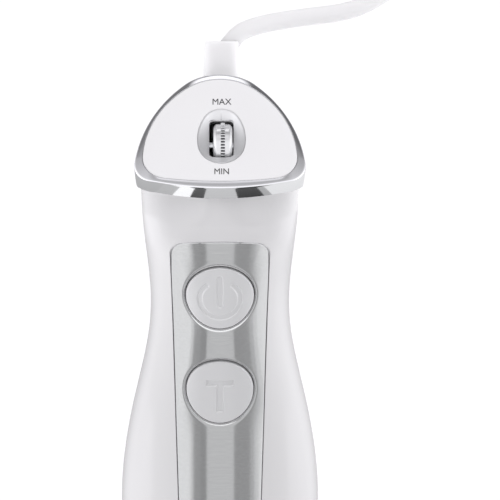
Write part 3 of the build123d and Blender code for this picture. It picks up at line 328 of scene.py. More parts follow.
def body_sections(theta, inset):
    """Each station's points at angles theta: an ellipse, blended at the neck into the tilted ring's line."""
    pick_x, pick_y = outline(top_line, theta, body_inset + inset)
    rows = [(0.0, z, 0.0, 0.0, wide, deep) for z, wide, deep in body_stations]
    for step in range(neck_steps):
        share = (step + 1) / neck_steps
        ease = share ** neck_ease
        height = body_stations[-1][0] + share * (neck_end[2] - body_stations[-1][0])
        rows.append((neck_end[1] * ease, height, top_tilt * ease, ease, neck_wide, neck_deep))
    sections = []
    for middle, height, tilt, blend, wide, deep in rows:
        across = (1 - blend) * (wide - inset) * np.cos(theta) + blend * pick_x
        along = (1 - blend) * (deep - inset) * np.sin(theta) + blend * (pick_y - ring_middle)
        sections.append(grid_of(across, middle + along * math.cos(tilt), height + along * math.sin(tilt)))
    return np.array(sections)


all_round = np.linspace(0, 2 * math.pi, 64, endpoint=False)
section_steps = np.linalg.norm(np.diff(body_sections(all_round, 0.0), axis=0), axis=-1).mean(axis=1)
body_levels = np.concatenate([[0], np.cumsum(section_steps)])


def station_weights(level):
    """Share of each station in the surface at given levels: a natural cubic spline through the stations."""
    count = len(body_levels)
    gaps = np.diff(body_levels)
    inner = np.arange(1, count - 1)
    system, pull = np.eye(count), np.zeros((count, count))
    system[inner, inner - 1], system[inner, inner + 1] = gaps[:-1], gaps[1:]
    system[inner, inner] = 2 * (gaps[:-1] + gaps[1:])
    pull[inner, inner - 1], pull[inner, inner + 1] = 6 / gaps[:-1], 6 / gaps[1:]
    pull[inner, inner] = -6 / gaps[:-1] - 6 / gaps[1:]
    bend = np.linalg.solve(system, pull)
    span = np.clip(np.searchsorted(body_levels, level) - 1, 0, count - 2)
    gap = gaps[span][..., None]
    up = (level - body_levels[span])[..., None] / gap
    low = 1 - up
    own = np.eye(count)
    return (low * own[span] + up * own[span + 1]
            + (low ** 3 - low) * gap ** 2 / 6 * bend[span] + (up ** 3 - up) * gap ** 2 / 6 * bend[span + 1])


def body_points(theta, level, inset):
    """Points of the body's face at section angles and levels: the stations' points in their shares."""
    return np.einsum("...k,k...c->...c", station_weights(level), body_sections(theta, inset))


front_levels = np.linspace(0, body_levels[-1], 200)
front_line = body_points(np.full_like(front_levels, -math.pi / 2), front_levels, 0.0)


def front_y(x, z, inset):
    """Y of the body's front at given x and z: Newton's steps on the section angle and the level."""
    x, z = np.broadcast_arrays(np.asarray(x, float), np.asarray(z, float))
    theta = -math.pi / 2 + np.arcsin(np.clip(x / front_half, -1, 1))
    level = np.interp(z, front_line[:, 2], front_levels)
    for step in range(newton_steps):
        here = body_points(theta, level, inset)
        by_theta = (body_points(theta + tiny, level, inset) - here) / tiny
        by_level = (body_points(theta, level + tiny, inset) - here) / tiny
        miss_x, miss_z = x - here[..., 0], z - here[..., 2]
        area = by_theta[..., 0] * by_level[..., 2] - by_theta[..., 2] * by_level[..., 0]
        theta = theta + (miss_x * by_level[..., 2] - miss_z * by_level[..., 0]) / area
        level = level + (miss_z * by_theta[..., 0] - miss_x * by_theta[..., 2]) / area
    return body_points(theta, level, inset)[..., 1]


def skin(name, *grids):
    """Mesh from grids of points (rows, columns, 3): quads of each grid, coinciding points merged."""
    points, faces, start = [], [], 0
    for grid in grids:
        rows, columns = grid.shape[:2]
        corner = start + np.arange(rows * columns).reshape(rows, columns)
        quads = np.stack([corner[:-1, :-1], corner[:-1, 1:], corner[1:, 1:], corner[1:, :-1]], axis=-1)
        points.append(grid.reshape(-1, 3))
        faces.append(quads.reshape(-1, 4))
        start += rows * columns
    mesh = bpy.data.meshes.new(name)
    mesh.from_pydata(np.concatenate(points).tolist(), [], np.concatenate(faces).tolist())
    shape = bmesh.new()
    shape.from_mesh(mesh)
    bmesh.ops.remove_doubles(shape, verts=shape.verts, dist=merge_distance)
    bmesh.ops.recalc_face_normals(shape, faces=shape.faces)
    shape.to_mesh(mesh)
    shape.free()
    mesh.shade_smooth()
    mesh.set_sharp_from_angle(angle=sharp_from)
    return mesh


def fit(shape, material, body, slot, *nodes):
    """Put a finished mesh or curve on its body, in place of the nodes it stands for."""
    shape.materials.append(material)
    piece = add_object(shape.name, shape)
    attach(piece, body)
    if nodes:
        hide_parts(*nodes)
    return piece


panel_top, panel_crown, panel_top_half = 0.3484, 0.0016, 0.0176
panel_bottom, panel_bottom_half = 0.212, 0.0144
panel_corner, panel_end = 0.005, 0.011
panel_seam, panel_thick, panel_round = 0.00025, 0.0008, 0.0003
between_z, below_z, plain_z = 0.309, 0.2727, 0.243
power_z, turbo_z = 0.3279, 0.2914
button_wide, button_high, button_gap, button_sag = 0.01205, 0.0119, 0.00045, 0.0003
roll_radius, roll_depth, roll_back, roll_steps = 0.0011, 0.0014, 0.6, 9
spread_rows, spread_ease = 26, 0.8
crown_radius = (panel_top_half ** 2 + panel_crown ** 2) / (2 * panel_crown)


def rounded_corner(first, second, radius):
    """Distance from two edges' distances, with the corner between them rounded by a radius."""
    outside = np.hypot(np.maximum(first + radius, 0), np.maximum(second + radius, 0))
    return np.minimum(np.maximum(first, second), -radius) + outside


def panel_half(z):
    """Half the width between the panel's side seams at given heights."""
    share = (z - panel_bottom) / (panel_top - panel_bottom)
    return panel_bottom_half + share * (panel_top_half - panel_bottom_half)


def panel_gap(x, z):
    """Distance of a place from the panel's seam line, negative inside: arched top, straight sides."""
    side = np.abs(x) - panel_half(z)
    arch = np.hypot(x, z - panel_top - panel_crown + crown_radius) - crown_radius
    foot = rounded_corner(side, panel_bottom - z, panel_end)
    return np.maximum(rounded_corner(side, arch, panel_corner), foot)


def ray_reach(angle, inside):
    """Distances along rays at which inside(x, y) ends, by halving the stretch that holds the end."""
    near, far = np.zeros_like(angle), np.full_like(angle, ray_end)
    for step in range(halvings):
        half = (near + far) / 2
        within = inside(half * np.cos(angle), half * np.sin(angle))
        near, far = np.where(within, half, near), np.where(within, far, half)
    return near


def seam_points(middle_z, first, last, count):
    """Points (x, z) of the panel's edge on rays from a middle, between two angles."""
    angle = np.linspace(first, last, count)
    reach = ray_reach(angle, lambda x, z: panel_gap(x, middle_z + z) < -panel_seam)
    return np.stack([reach * np.cos(angle), middle_z + reach * np.sin(angle)], axis=-1)


def panel_sector(middle_z, hole, edge, free):
    """Grids of the part of the panel between a hole (or its middle) and a line of edge points.

    Rows run from the hole's rolled lip outwards, at the front's y plus a depth: a quarter round at the hole,
    and a small round at a free edge. The underside follows a panel's thickness behind.
    """
    ray = edge - np.array([0.0, middle_z])
    length = np.hypot(ray[:, 0], ray[:, 1])

    def spots(reach):
        """Coordinates x and z at distances along the rays."""
        along = reach[..., None] / length[:, None] * ray
        return along[..., 0], middle_z + along[..., 1]

    grow, lip, inner = [0.0], [0.0], 0 * length
    spread = np.linspace(0, 1, spread_rows)[1:] ** spread_ease
    near_edge = panel_round * np.array([1.0, 0.7, 0.45, 0.25, 0.1, 0.03, 0.0])
    if hole:
        wide, high = button_wide + button_gap, button_high + button_gap + button_sag
        inner = length / np.hypot(ray[:, 0] / wide, ray[:, 1] / high)
        lip_turn = np.linspace(0, math.pi / 2, roll_steps)
        grow = [0.0, *roll_radius * (1 - np.cos(lip_turn))]
        lip = [roll_depth, *roll_radius * (1 - np.sin(lip_turn))]
    start, end = inner + grow[-1], length - near_edge[0]
    rows = [inner + out for out in grow] + [start + share * (end - start) for share in spread]
    rows += [length - back for back in near_edge[1:]]
    depths = lip + [0.0] * (len(rows) - len(lip))
    x, z = spots(np.array(rows))
    short = np.clip(panel_round + panel_gap(x, z) + panel_seam, 0, panel_round)
    depth = np.array(depths)[:, None] + panel_round - np.sqrt(panel_round ** 2 - short ** 2)
    face = grid_of(x, front_y(x, z, 0.0) + depth, z)
    under_rows = np.array([length, end, (start + end) / 2, start, inner + roll_back * roll_radius, inner])
    under_depth = np.array([panel_thick] * 4 + [roll_depth] * 2)
    if not hole:
        under_rows, under_depth = under_rows[:4], under_depth[:4]
    x, z = spots(under_rows)
    under = grid_of(x, front_y(x, z, 0.0) + under_depth[:, None], z)
    return [np.concatenate([face, under])] if free else [face, under]


def cross_line(z):
    """Points (x, z) of a line across the panel between its side edges, left to right."""
    half = panel_half(z) - panel_seam
    across = np.linspace(-half, half, 90)
    return np.stack([across, np.full_like(across, z)], axis=-1)


def end_angles(middle_z, line):
    """Angles of the rays from a middle to both ends of a line of points (x, z)."""
    return [math.atan2(z - middle_z, x) for x, z in (line[0], line[-1])]


middle_line, lower_line = cross_line(between_z), cross_line(below_z)
left, right = end_angles(power_z, middle_line)
low, high = end_angles(turbo_z, lower_line)[1], end_angles(turbo_z, middle_line)[1]
foot_left, foot_right = end_angles(plain_z, lower_line)
sectors = [
    (power_z, True, seam_points(power_z, right, left + 2 * math.pi, 300), True),
    (power_z, True, middle_line, False),
    (turbo_z, True, seam_points(turbo_z, low, high, 110), True),
    (turbo_z, True, seam_points(turbo_z, math.pi - high, math.pi - low, 110), True),
    (turbo_z, True, middle_line, False),
    (turbo_z, True, lower_line, False),
    (plain_z, False, seam_points(plain_z, foot_left, foot_right + 2 * math.pi, 260), True),
    (plain_z, False, lower_line, False),
]
panel_grids = [grid for sector in sectors for grid in panel_sector(*sector)]


def brushed_across(place):
    """Fine scratches along x: noise drawn out thirty and eighty times, in tone, roughness and relief."""
    long_scratch = place.cloud(2600.0, (0.012, 1, 1), 2.0)
    short_scratch = place.cloud(7000.0, (0.03, 1, 1), 1.0)
    scratch = long_scratch * 0.6 + short_scratch * 0.4
    haze = place.cloud(40.0)
    return (scratch.between((0.56, 0.565, 0.575), (0.72, 0.725, 0.735)),
            0.11 + scratch * 0.07 + haze * 0.03, scratch.relief(0.000012, 0.0001))


panel_steel = finish("panel_steel", {"Metallic": 1.0, "Anisotropic": 0.8, "Anisotropic Rotation": 0.25},
                     brushed_across)
fit(skin("brushed_panel", *panel_grids), panel_steel, "motor_unit", "panel_steel", "steel_panel")

# Push buttons
# Two oval thumb buttons of matt grey plastic with the front's own curve. The standby and the boost mark are
# sunk about half a millimetre into them, and a skirt with a flange keeps each in its guide. A round seat in
# the underside takes the rubber dome when the button is down.
button_recess, button_round = 0.0004, 0.0006
flange_y, flange_thick, flange_wide = -0.0182, 0.0014, 0.0015
skirt_wall, crown_back, post_radius, post_end = 0.0016, 0.0036, 0.002, -0.0124
seat_radius, seat_depth = 0.0062, 0.0016
mark_slope, standby_depth, boost_depth = 0.0005, 0.00042, 0.0006
boost_top, boost_foot, bar_foot = 0.00445, -0.0076, 0.0024
boost_half, stem_half = 0.0048, 0.001185
face_rows, face_ease, face_turns = 112, 0.9, 481


def smooth(share):
    """Share from 0 to 1 with a level start and a level end."""
    return share ** 2 * (3 - 2 * share)


def bar_gap(x, z, half_wide, low, high):
    """Distance from an upright bar with square ends, negative inside."""
    return np.maximum(np.abs(x) - half_wide, np.abs(z - (low + high) / 2) - (high - low) / 2)


def standby_gap(x, z):
    """Distance from the standby mark: a ring open at the top and a round-ended bar through the opening."""
    ring_radius, ring_half, ring_z, opening = 0.0071, 0.00085, -0.0005, math.radians(42)
    end_x, end_z = ring_radius * math.sin(opening), ring_radius * math.cos(opening) + ring_z
    ring = np.where(np.abs(np.arctan2(x, z - ring_z)) > opening,
                    np.abs(np.hypot(x, z - ring_z) - ring_radius),
                    np.hypot(np.abs(x) - end_x, z - end_z))
    bar_low, bar_high, bar_half = -0.0037, 0.0087, 0.00105
    bar = np.hypot(x, z - np.clip(z, bar_low + bar_half, bar_high - bar_half)) - bar_half
    return np.minimum(ring - ring_half, bar)


def boost_gap(x, z):
    """Distance from the boost mark, a plain T of two bars."""
    return np.minimum(bar_gap(x, z, boost_half, bar_foot, boost_top),
                      bar_gap(x, z, stem_half, boost_foot, boost_top))


def button_grid(middle_z, mark_gap, mark_depth):
    """Rings of points from the face's middle out over its round edge, back along the skirt and inside."""
    angle = np.linspace(0, 2 * math.pi, face_turns)
    edge = button_round * np.sin(np.linspace(0, math.pi / 2, 8))
    share = np.concatenate([np.linspace(0, 1, face_rows) ** face_ease * (1 - button_round / button_wide),
                            1 - (button_round - edge[1:]) / button_wide])
    drop = np.concatenate([np.zeros(face_rows), button_round - np.sqrt(button_round ** 2 - edge[1:] ** 2)])
    x = share[:, None] * button_wide * np.cos(angle)
    z = share[:, None] * button_high * np.sin(angle)
    sunk = np.clip(0.5 - mark_gap(x, z) / mark_slope, 0, 1)
    y = front_y(x, middle_z + z, button_recess) + drop[:, None] + mark_depth * smooth(sunk)
    crown_y = float(front_y(0.0, middle_z, button_recess)) + crown_back
    flange_back, seat_y = flange_y + flange_thick, crown_y - seat_depth
    skirt = [(0.0, flange_y), (flange_wide, flange_y), (flange_wide, flange_back), (-skirt_wall, flange_back),
             (-skirt_wall, crown_y)]
    core = [(seat_radius, crown_y), (seat_radius, seat_y), (post_radius, seat_y), (post_radius, post_end),
            (0.0, post_end)]
    back = [(button_wide + out, button_high + out, y) for out, y in skirt] + [(r, r, y) for r, y in core]
    wide, high, depth = np.array(back).T[..., None]
    inside = grid_of(wide * np.cos(angle), depth, middle_z + high * np.sin(angle))
    return np.concatenate([grid_of(x, y, middle_z + z), inside])


def matt_grey(place):
    """Even satin grey with a fine spark texture, slightly smoother where thumbs have rubbed it."""
    spark = place.cloud(4200.0, detail=2.0)
    rubbed = place.cloud(90.0)
    return ((spark * 0.5 + rubbed * 0.5).between((0.63, 0.635, 0.64), (0.68, 0.685, 0.69)),
            0.36 + spark * 0.12 - rubbed * 0.06, spark.relief(0.00002, 0.0001))


button_grey = finish("button_grey", {"Metallic": 0.25}, matt_grey)
for name, middle_z, mark_gap, mark_depth in [
        ("power", power_z, standby_gap, standby_depth), ("turbo", turbo_z, boost_gap, boost_depth)]:
    grid = button_grid(middle_z - button_sag, mark_gap, mark_depth)
    fit(skin(f"{name}_thumb_button", grid), button_grey, f"{name}_button", "button_grey", f"{name}_button")

# Bright ring
# One chromed moulding round the sloping top: a bevel beside the plate, narrow up the sides and broad at the
# front corners, and an upright outer wall, pressed down on the shells' upper rim. Its lip is rounder at the
# back.
ring_lip, ring_bevel_wide, ring_bevel_drop = 0.0005, 0.00175, 0.00045
ring_edge, apex_edge, apex_from, apex_over = 0.0004, 0.00075, 0.8, 0.15
ring_wall, ring_draft, ring_bulge, ring_seat = 0.0042, 0.00066, 0.0001, 0.0042
ring_side_wall, ring_side_reach, ring_foot_round = 0.0022, 0.6, 0.00015
upright_below, upright_over = 0.87, 0.7
plate_thick = 0.0023
plate_line = 0.00128, [(0.1481, -82.6), (0.00875, 2.4), (0.0375, 54.0)]


def eased(before, corner, after, reach, count=6):
    """Points of a soft corner: a quadratic curve from the reach before the corner to the reach after it."""
    before, corner, after = map(np.array, (before, corner, after))
    start = corner + (before - corner) / np.hypot(*(before - corner)) * reach
    end = corner + (after - corner) / np.hypot(*(after - corner)) * reach
    t = np.linspace(0, 1, count)[:, None]
    return (1 - t) ** 2 * start + 2 * t * (1 - t) * corner + t ** 2 * end


lip_point = (ring_lip, -ring_bevel_drop)
bevel_foot = (ring_lip + ring_bevel_wide, 0.0)
ring_angles = even_angles(top_line, 640)
at_apex = np.clip((np.sin(ring_angles) - apex_from) / apex_over, 0, 1)
lip_edges = np.stack([eased(bevel_foot, lip_point, (ring_lip, -ring_height), reach, 9)[:-1]
                      for reach in (ring_edge, apex_edge)])[..., None]
ring_foot = eased((bevel_foot[0], -plate_thick), bevel_foot, lip_point, ring_foot_round)[..., None]
ring_top = np.concatenate([ring_foot + 0 * at_apex, lip_edges[0] + (lip_edges[1] - lip_edges[0]) * at_apex])
up_bevel = (ring_top[:, 0] - ring_lip) / ring_bevel_wide
lip = outline(top_line, ring_angles, ring_lip)
rim = outline(plate_line, even_angles(plate_line, 16000), 0.0)
away = np.hypot(*(lip[..., None] - rim[:, None]))
foot = rim[:, away.argmin(axis=1)]
drop = ring_bevel_drop / ring_bevel_wide * away.min(axis=1)
upright = smooth(np.clip((upright_below - np.sin(ring_angles)) / upright_over, 0, 1))
wall_drop = ring_wall + ring_side_wall * np.exp(-(np.arcsin(np.sin(ring_angles)) / ring_side_reach) ** 2)
wall_share = np.linspace(0, 1, 20)[:, None]
wall_top = drop + ring_edge + (apex_edge - ring_edge) * at_apex
wall_foot = ring_height + (wall_top + wall_drop * math.cos(top_tilt) - ring_height) * upright
wall_inset = ring_lip + ring_draft * wall_share - ring_bulge * 4 * wall_share * (1 - wall_share)
wall = outline(top_line, ring_angles[None], wall_inset)
wall[1] -= wall_drop * math.sin(top_tilt) * upright * wall_share
seat = outline(top_line, ring_angles, ring_seat)
level = np.ones_like(drop)
top_level = ring_top[:, 1] + (ring_bevel_drop - drop) * (1 - up_bevel)
ring_line = np.concatenate([lip[:, None] + (foot - lip)[:, None] * up_bevel, wall,
                            np.stack([seat, seat, foot, foot], axis=1)], axis=1)
ring_level = np.concatenate([
    top_level, -wall_top - (wall_foot - wall_top) * wall_share,
    [-ring_height * level, -plate_thick * level, -plate_thick * level, top_level[0]]])


def polished_chrome(place):
    """Mirror plating with a faint haze of handling."""
    haze = place.cloud(70.0)
    wipe = place.cloud(900.0, (0.2, 1, 1))
    return haze.between((0.74, 0.745, 0.765), (0.8, 0.805, 0.82)), 0.05 + haze * 0.03 + wipe * 0.02


chrome = finish("polished_chrome", metal, polished_chrome)
fit(skin("bright_ring", on_top(*ring_line, ring_level)), chrome, "motor_unit", "chrome_trim", "chrome_ring")

# Top plate
# White plate clipped inside the ring, with the marks for the lowest and the highest speed printed on it
# in dark grey.
plate_clearance, plate_round = 0.0001, 0.0003
dial_shift, dish_clearance = 0.0005, 0.00005
dish_line = 0.0087, [(0.00809, -11.7), (0.018, 30.0)]
plate_angles = np.sort(np.concatenate([even_angles(plate_line, 640), even_angles(dish_line, 320)]))
edge_turn = np.linspace(0, math.pi / 2, 5)
rim_in = np.concatenate([[0.0, 0.0], plate_round * (1 - np.cos(edge_turn))])
rim_height = np.concatenate([[-plate_thick, -plate_round], plate_round * (np.sin(edge_turn) - 1)])
outer = outline(plate_line, plate_angles[None], plate_clearance + rim_in[:, None])
inner = outline(dish_line, plate_angles[None], -dish_clearance - rim_in[::-1, None])
inner[0] += dial_shift
plate_rings = np.concatenate([outer, inner, outer[:, :1]], axis=1)
plate_heights = np.concatenate([rim_height, rim_height[::-1], rim_height[:1]])[:, None]
plate_mesh = skin("white_top_plate", on_top(*plate_rings, plate_heights))
plate_white = toned("plate_white", ((0.87, 0.87, 0.875), (0.89, 0.89, 0.89)), (0.22, 0.28), 20.0, 0.000004,
                    {"IOR": 1.5}, finer=85)
fit(plate_mesh, plate_white, "motor_unit", "white_shell", "top_plate")

printed_grey = toned("printed_grey", ((0.03, 0.03, 0.033), (0.05, 0.05, 0.053)), (0.45, 0.6), 900.0, 0.000004)
print_thick, print_lift, print_shift = 0.00002, 0.00003, 0.0006
capital_share, letter_narrow = 0.73, 0.87


def print_mark(name, words, height, middle_y):
    """Printed capitals: a text curve made a mesh, narrowed and laid on the sloping plate."""
    letters = bpy.data.curves.new(name, "FONT")
    letters.body = words
    letters.align_x = letters.align_y = "CENTER"
    letters.size = height / capital_share
    letters.extrude = print_thick
    holder = add_object(name, letters)
    mesh = bpy.data.meshes.new_from_object(holder.evaluated_get(bpy.context.evaluated_depsgraph_get()))
    bpy.data.objects.remove(holder)
    mesh.name = name
    flat = np.empty(3 * len(mesh.vertices))
    mesh.vertices.foreach_get("co", flat)
    x, y, z = flat.reshape(-1, 3).T
    placed = on_top(letter_narrow * x + print_shift, middle_y + y - (y.max() + y.min()) / 2, z + print_lift)
    mesh.vertices.foreach_set("co", placed.ravel())
    mesh.update()
    fit(mesh, printed_grey, "motor_unit", "black_part")


print_mark("highest_mark", "MAX", 0.00265, 0.0343)
print_mark("lowest_mark", "MIN", 0.0025, 0.0053)

# Dial dish
# Satin silver surround of the speed wheel: a shallow bowl sunk into the plate, with a slot for the wheel and
# a fine index line at its upper end. A flange below holds it under the plate.
dish_depth, dish_slope, dish_rim, dish_bottom, dish_flange = 0.0018, 0.0052, 0.0003, 0.0045, 0.0015
slot_half_wide, slot_half_long, slot_middle, slot_corner = 0.0042, 0.0076, 0.0198, 0.0015
slot_lip, rim_rows = 0.0002, [0.0, 0.0004, 0.0007]
index_low, index_high, index_depth, index_half, index_soft = 0.0082, 0.0109, 0.0002, 1.5, 0.00012
wheel_radius, wheel_axis_depth, wheel_clearance = 0.0082, 0.0063, 0.0004
dish_turn = np.linspace(-math.pi, math.pi, 577)
dense = even_angles(dish_line, 4000)
dense_x, dense_y = outline(dish_line, dense, 0.0)
dense_turn = np.arctan2(dense_y - slot_middle, dense_x)
dense_reach = np.hypot(dense_x, dense_y - slot_middle)
dish_reach = np.interp(dish_turn, dense_turn, dense_reach, period=2 * math.pi)
slot_edge = ray_reach(dish_turn, lambda x, y: rounded_corner(
    np.abs(x) - slot_half_wide, np.abs(y) - slot_half_long, slot_corner) < 0)
inward = np.concatenate([rim_rows, np.linspace(0.001, dish_slope, 30)])[:, None]
sunk = np.clip((inward - dish_rim) / (dish_slope - dish_rim), 0, 1)
soft = np.linspace(0, math.pi / 2, 5)[:, None]
bowl_reach = np.concatenate([np.maximum(dish_reach - inward, slot_edge + slot_lip), [slot_edge + slot_lip],
                             slot_edge + slot_lip * (1 - np.sin(soft))])
bowl_x, bowl_y = bowl_reach * np.cos(dish_turn), bowl_reach * np.sin(dish_turn)
bowl_heights = -dish_depth * np.concatenate([1 - (1 - sunk) ** 2, [[1.0]], np.ones_like(soft)])
bowl_heights[-len(soft):] -= slot_lip * (1 - np.cos(soft))
index_gap = np.hypot(bowl_x, np.maximum(0, np.maximum(index_low - bowl_y, bowl_y - index_high)))
index_line = np.clip(index_half - index_gap / index_soft, 0, 1)
index_line[:len(rim_rows)] = 0
bowl_heights = bowl_heights - index_depth * index_line
wall_levels = np.linspace(dish_depth + 2 * slot_lip, dish_bottom, 8)
room = np.sqrt((wheel_radius + wheel_clearance) ** 2 - (wheel_axis_depth - wall_levels) ** 2)
wall_stretch = np.maximum(1.0, room / slot_half_long)[:, None]
flange_top = plate_thick + dish_clearance
skirt = [(dish_flange, dish_bottom), (dish_flange, flange_top), (0.0, flange_top), (0.0, 0.0)]
skirt_out, skirt_level = np.array(skirt).T[..., None]
dish_grid = np.concatenate([
    on_top(dial_shift + reach * np.cos(dish_turn), slot_middle + reach * np.sin(dish_turn) * stretch, heights)
    for reach, stretch, heights in [(bowl_reach, 1.0, bowl_heights),
                                    (slot_edge, wall_stretch, -wall_levels[:, None]),
                                    (dish_reach + skirt_out, 1.0, -skirt_level)]])


def satin_silver(place):
    """Silver lacquer with fine flakes under a thin clear film."""
    flake = place.cloud(6000.0, detail=1.0)
    drift = place.cloud(60.0)
    return ((flake * 0.7 + drift * 0.3).between((0.66, 0.665, 0.675), (0.78, 0.785, 0.79)),
            0.3 + flake * 0.1, flake.relief(0.000008, 0.0001))


silver_lacquer = finish("silver_lacquer", {"Metallic": 0.7, "Coat Weight": 0.2, "Coat Roughness": 0.2},
                        satin_silver)
fit(skin("dial_bowl", dish_grid), silver_lacquer, "motor_unit", "satin_silver", "dial_dish")

# Speed wheel
# Thumb wheel on a cross spindle: a silver drum with bevelled flanks and a band of fine teeth round its
# middle, with shade painted dark between the teeth.
wheel_half, wheel_shift, wheel_bevel = 0.0033, 0.0005, 0.0009
band_half, band_rise, wheel_teeth, tooth_depth = 0.00075, 0.0005, 48, 0.0004
tooth_steep, wheel_round, band_foot, band_step, band_round = 1.1, 0.0003, 0.0002, 0.0001, 0.00012
spindle_radius, tooth_points = 0.0015, 12
drum_radius = wheel_radius - band_rise
flank_foot = (-wheel_half, spindle_radius)
bevel_low, bevel_high = (-wheel_half, drum_radius - wheel_bevel), (-wheel_half + wheel_bevel, drum_radius)
drum = np.concatenate([
    [flank_foot],
    eased(flank_foot, bevel_low, bevel_high, wheel_round),
    eased(bevel_low, bevel_high, (0.0, drum_radius), wheel_round),
    [(-band_half - band_foot, drum_radius)],
])
band = np.array([
    (-band_half, drum_radius), (-band_half, drum_radius + band_step), (-band_half, wheel_radius - band_round),
    (-band_half + band_round, wheel_radius), (0.0, wheel_radius)])
half_wheel = np.concatenate([drum, band])
wheel_profile = np.concatenate([half_wheel, half_wheel[-2::-1] * (-1, 1), half_wheel[:1]])
wheel_turn = np.linspace(0, 2 * math.pi, wheel_teeth * tooth_points + 1)
tooth = np.clip(0.5 + tooth_steep * np.cos(wheel_teeth * wheel_turn), 0, 1)
raised = np.clip((wheel_profile[:, 1:] - drum_radius) / band_rise, 0, 1)
wheel_reach = wheel_profile[:, 1:] - tooth_depth * raised * tooth
wheel_grid = on_top(dial_shift + wheel_shift + wheel_profile[:, :1],
                    slot_middle + wheel_reach * np.cos(wheel_turn),
                    -wheel_axis_depth + wheel_reach * np.sin(wheel_turn))
wheel_axis = on_top(dial_shift + wheel_shift, slot_middle, -wheel_axis_depth)


def toothed_silver(place):
    """Silver as the dish's, with painted shade darkening the grooves where the band lies deeper than the
    teeth's tops.
    """
    from_axis = place.vector("SUBTRACT", "Vector", tuple(wheel_axis))
    across = from_axis.node("SeparateXYZ", {0: from_axis}, "X")
    reach = from_axis.vector("MULTIPLY", "Vector", (0.0, 1.0, 1.0)).vector("LENGTH", "Value")
    on_band = 1 - across.math("ABSOLUTE").step(band_half - band_step, band_half)
    # painted shade: the grooves between the teeth are coloured near black, standing in for the shade in them
    painted_groove_shade = on_band * (1 - reach.step(wheel_radius - 0.8 * tooth_depth, wheel_radius - 0.2 * tooth_depth))
    drift = place.cloud(300.0)
    silver = drift.between((0.72, 0.725, 0.735), (0.78, 0.785, 0.79))
    return painted_groove_shade.between(silver, (0.1, 0.1, 0.105)), 0.18 + drift * 0.06, drift.relief(0.000004, 0.0001)


wheel_silver = finish("wheel_silver", {"Metallic": 0.6}, toothed_silver)
fit(skin("thumb_wheel", wheel_grid), wheel_silver, "speed_wheel", "satin_silver", "speed_wheel")

# Strain relief boot
# Soft white sleeve that stands in the spout at the back of the top: round in the spout, above it nearly
# square with a flat front, and slightly tapered. The lead leaves its end to the right.
boot_lean = math.radians(20.0)
boot_end = np.array([0.0006, 0.0246, 0.4058])
boot_axis = np.array([0.0, math.sin(boot_lean), math.cos(boot_lean)])
boot_up = np.array([0.0, math.cos(boot_lean), -math.sin(boot_lean)])
boot_length, boot_ledge, boot_base, boot_tip, boot_round = 0.044, 0.015, 0.0066, 0.006, 0.0007
boot_square_from, boot_square_over, boot_squareness, boot_ledge_round = 0.022, 0.005, 0.55, 0.002
boot_profile = np.concatenate([
    [(0.0, -boot_length), (boot_base, -boot_length)],
    np.stack([np.full(8, boot_base),
              np.linspace(-boot_square_from, -boot_ledge - boot_ledge_round, 8)], axis=-1),
    eased((boot_base, -boot_length), (boot_base, -boot_ledge), (boot_tip, 0.0), boot_ledge_round),
    eased((boot_base, -boot_ledge), (boot_tip, 0.0), (0.0, 0.0), boot_round, 8),
    [(0.0, 0.0)],
])
boot_turn = np.linspace(0, 2 * math.pi, 161)
squareness = np.clip((boot_profile[:, 1:] + boot_square_from) / boot_square_over, 0, 1)
power = 1 - boot_squareness * squareness


def squared(wave):
    """Cosine or sine of the turn raised to the power, which swells the round profile into a square."""
    return boot_profile[:, :1] * np.sign(wave) * np.abs(wave) ** power


boot_x, boot_v = squared(np.cos(boot_turn)), squared(np.sin(boot_turn))
boot_grid = (boot_end + boot_x[..., None] * np.array([1.0, 0.0, 0.0]) + boot_v[..., None] * boot_up
             + boot_profile[:, 1:, None] * boot_axis)


def vinyl(name, light_reach, tone):
    """Finish of soft white vinyl, satin and slightly uneven, in which light wanders by a reach."""
    def soft_white(place):
        drift = place.cloud(35.0)
        fine = place.cloud(1800.0)
        return (drift.between((tone, tone, tone + 0.002), (tone + 0.02, tone + 0.02, tone + 0.02)),
                0.38 + fine * 0.1, (drift * 0.5 + fine * 0.1).relief(0.00004, 0.0002))
    return finish(name, {"IOR": 1.48, "Subsurface Weight": 1.0, "Subsurface Scale": light_reach,
                         "Subsurface Radius": (1.0, 1.0, 1.0)}, soft_white)


fit(skin("relief_boot", boot_grid), vinyl("boot_vinyl", 0.01, 0.78), "motor_unit", "lead_white", "cord_boot")

# Mains lead
# Round white lead of 6.4 mm, 1.42 m long. It leaves the boot to the right, falls to the table beside the
# blender and is put away in a tied coil of two layers with its two-pin plug beside it.
lead_radius = 0.0032
lead_route = [
    (0.0006, 0.0224, 0.401), (0.005, 0.0274, 0.4074), (0.013, 0.0334, 0.409), (0.028, 0.0425, 0.4088),
    (0.048, 0.0525, 0.4078), (0.06, 0.062, 0.411), (0.072, 0.074, 0.416), (0.095, 0.084, 0.418),
    (0.118, 0.087, 0.405), (0.131, 0.084, 0.378), (0.1345, 0.0785, 0.351), (0.135, 0.073, 0.296),
    (0.1336, 0.072, 0.223), (0.1342, 0.0734, 0.152), (0.135, 0.07, 0.094), (0.135, 0.0685, 0.054),
    (0.135, 0.06, 0.026), (0.135, 0.042, 0.0092), (0.135, 0.0128, 0.0046), (0.135, -0.0156, 0.0046),
]
coil_radii = (0.04, 0.036, 0.032, 0.028, 0.032, 0.036, 0.04)
coil_layer = 0.007
half_turn_steps = 10
lead_points = [Vector(point) for point in lead_route]
coil_lead_in = Vector((0.0, 2 * lead_radius, 0.0))
corner = lead_points[-1] - coil_lead_in
lead_points.append(corner)
side = -1
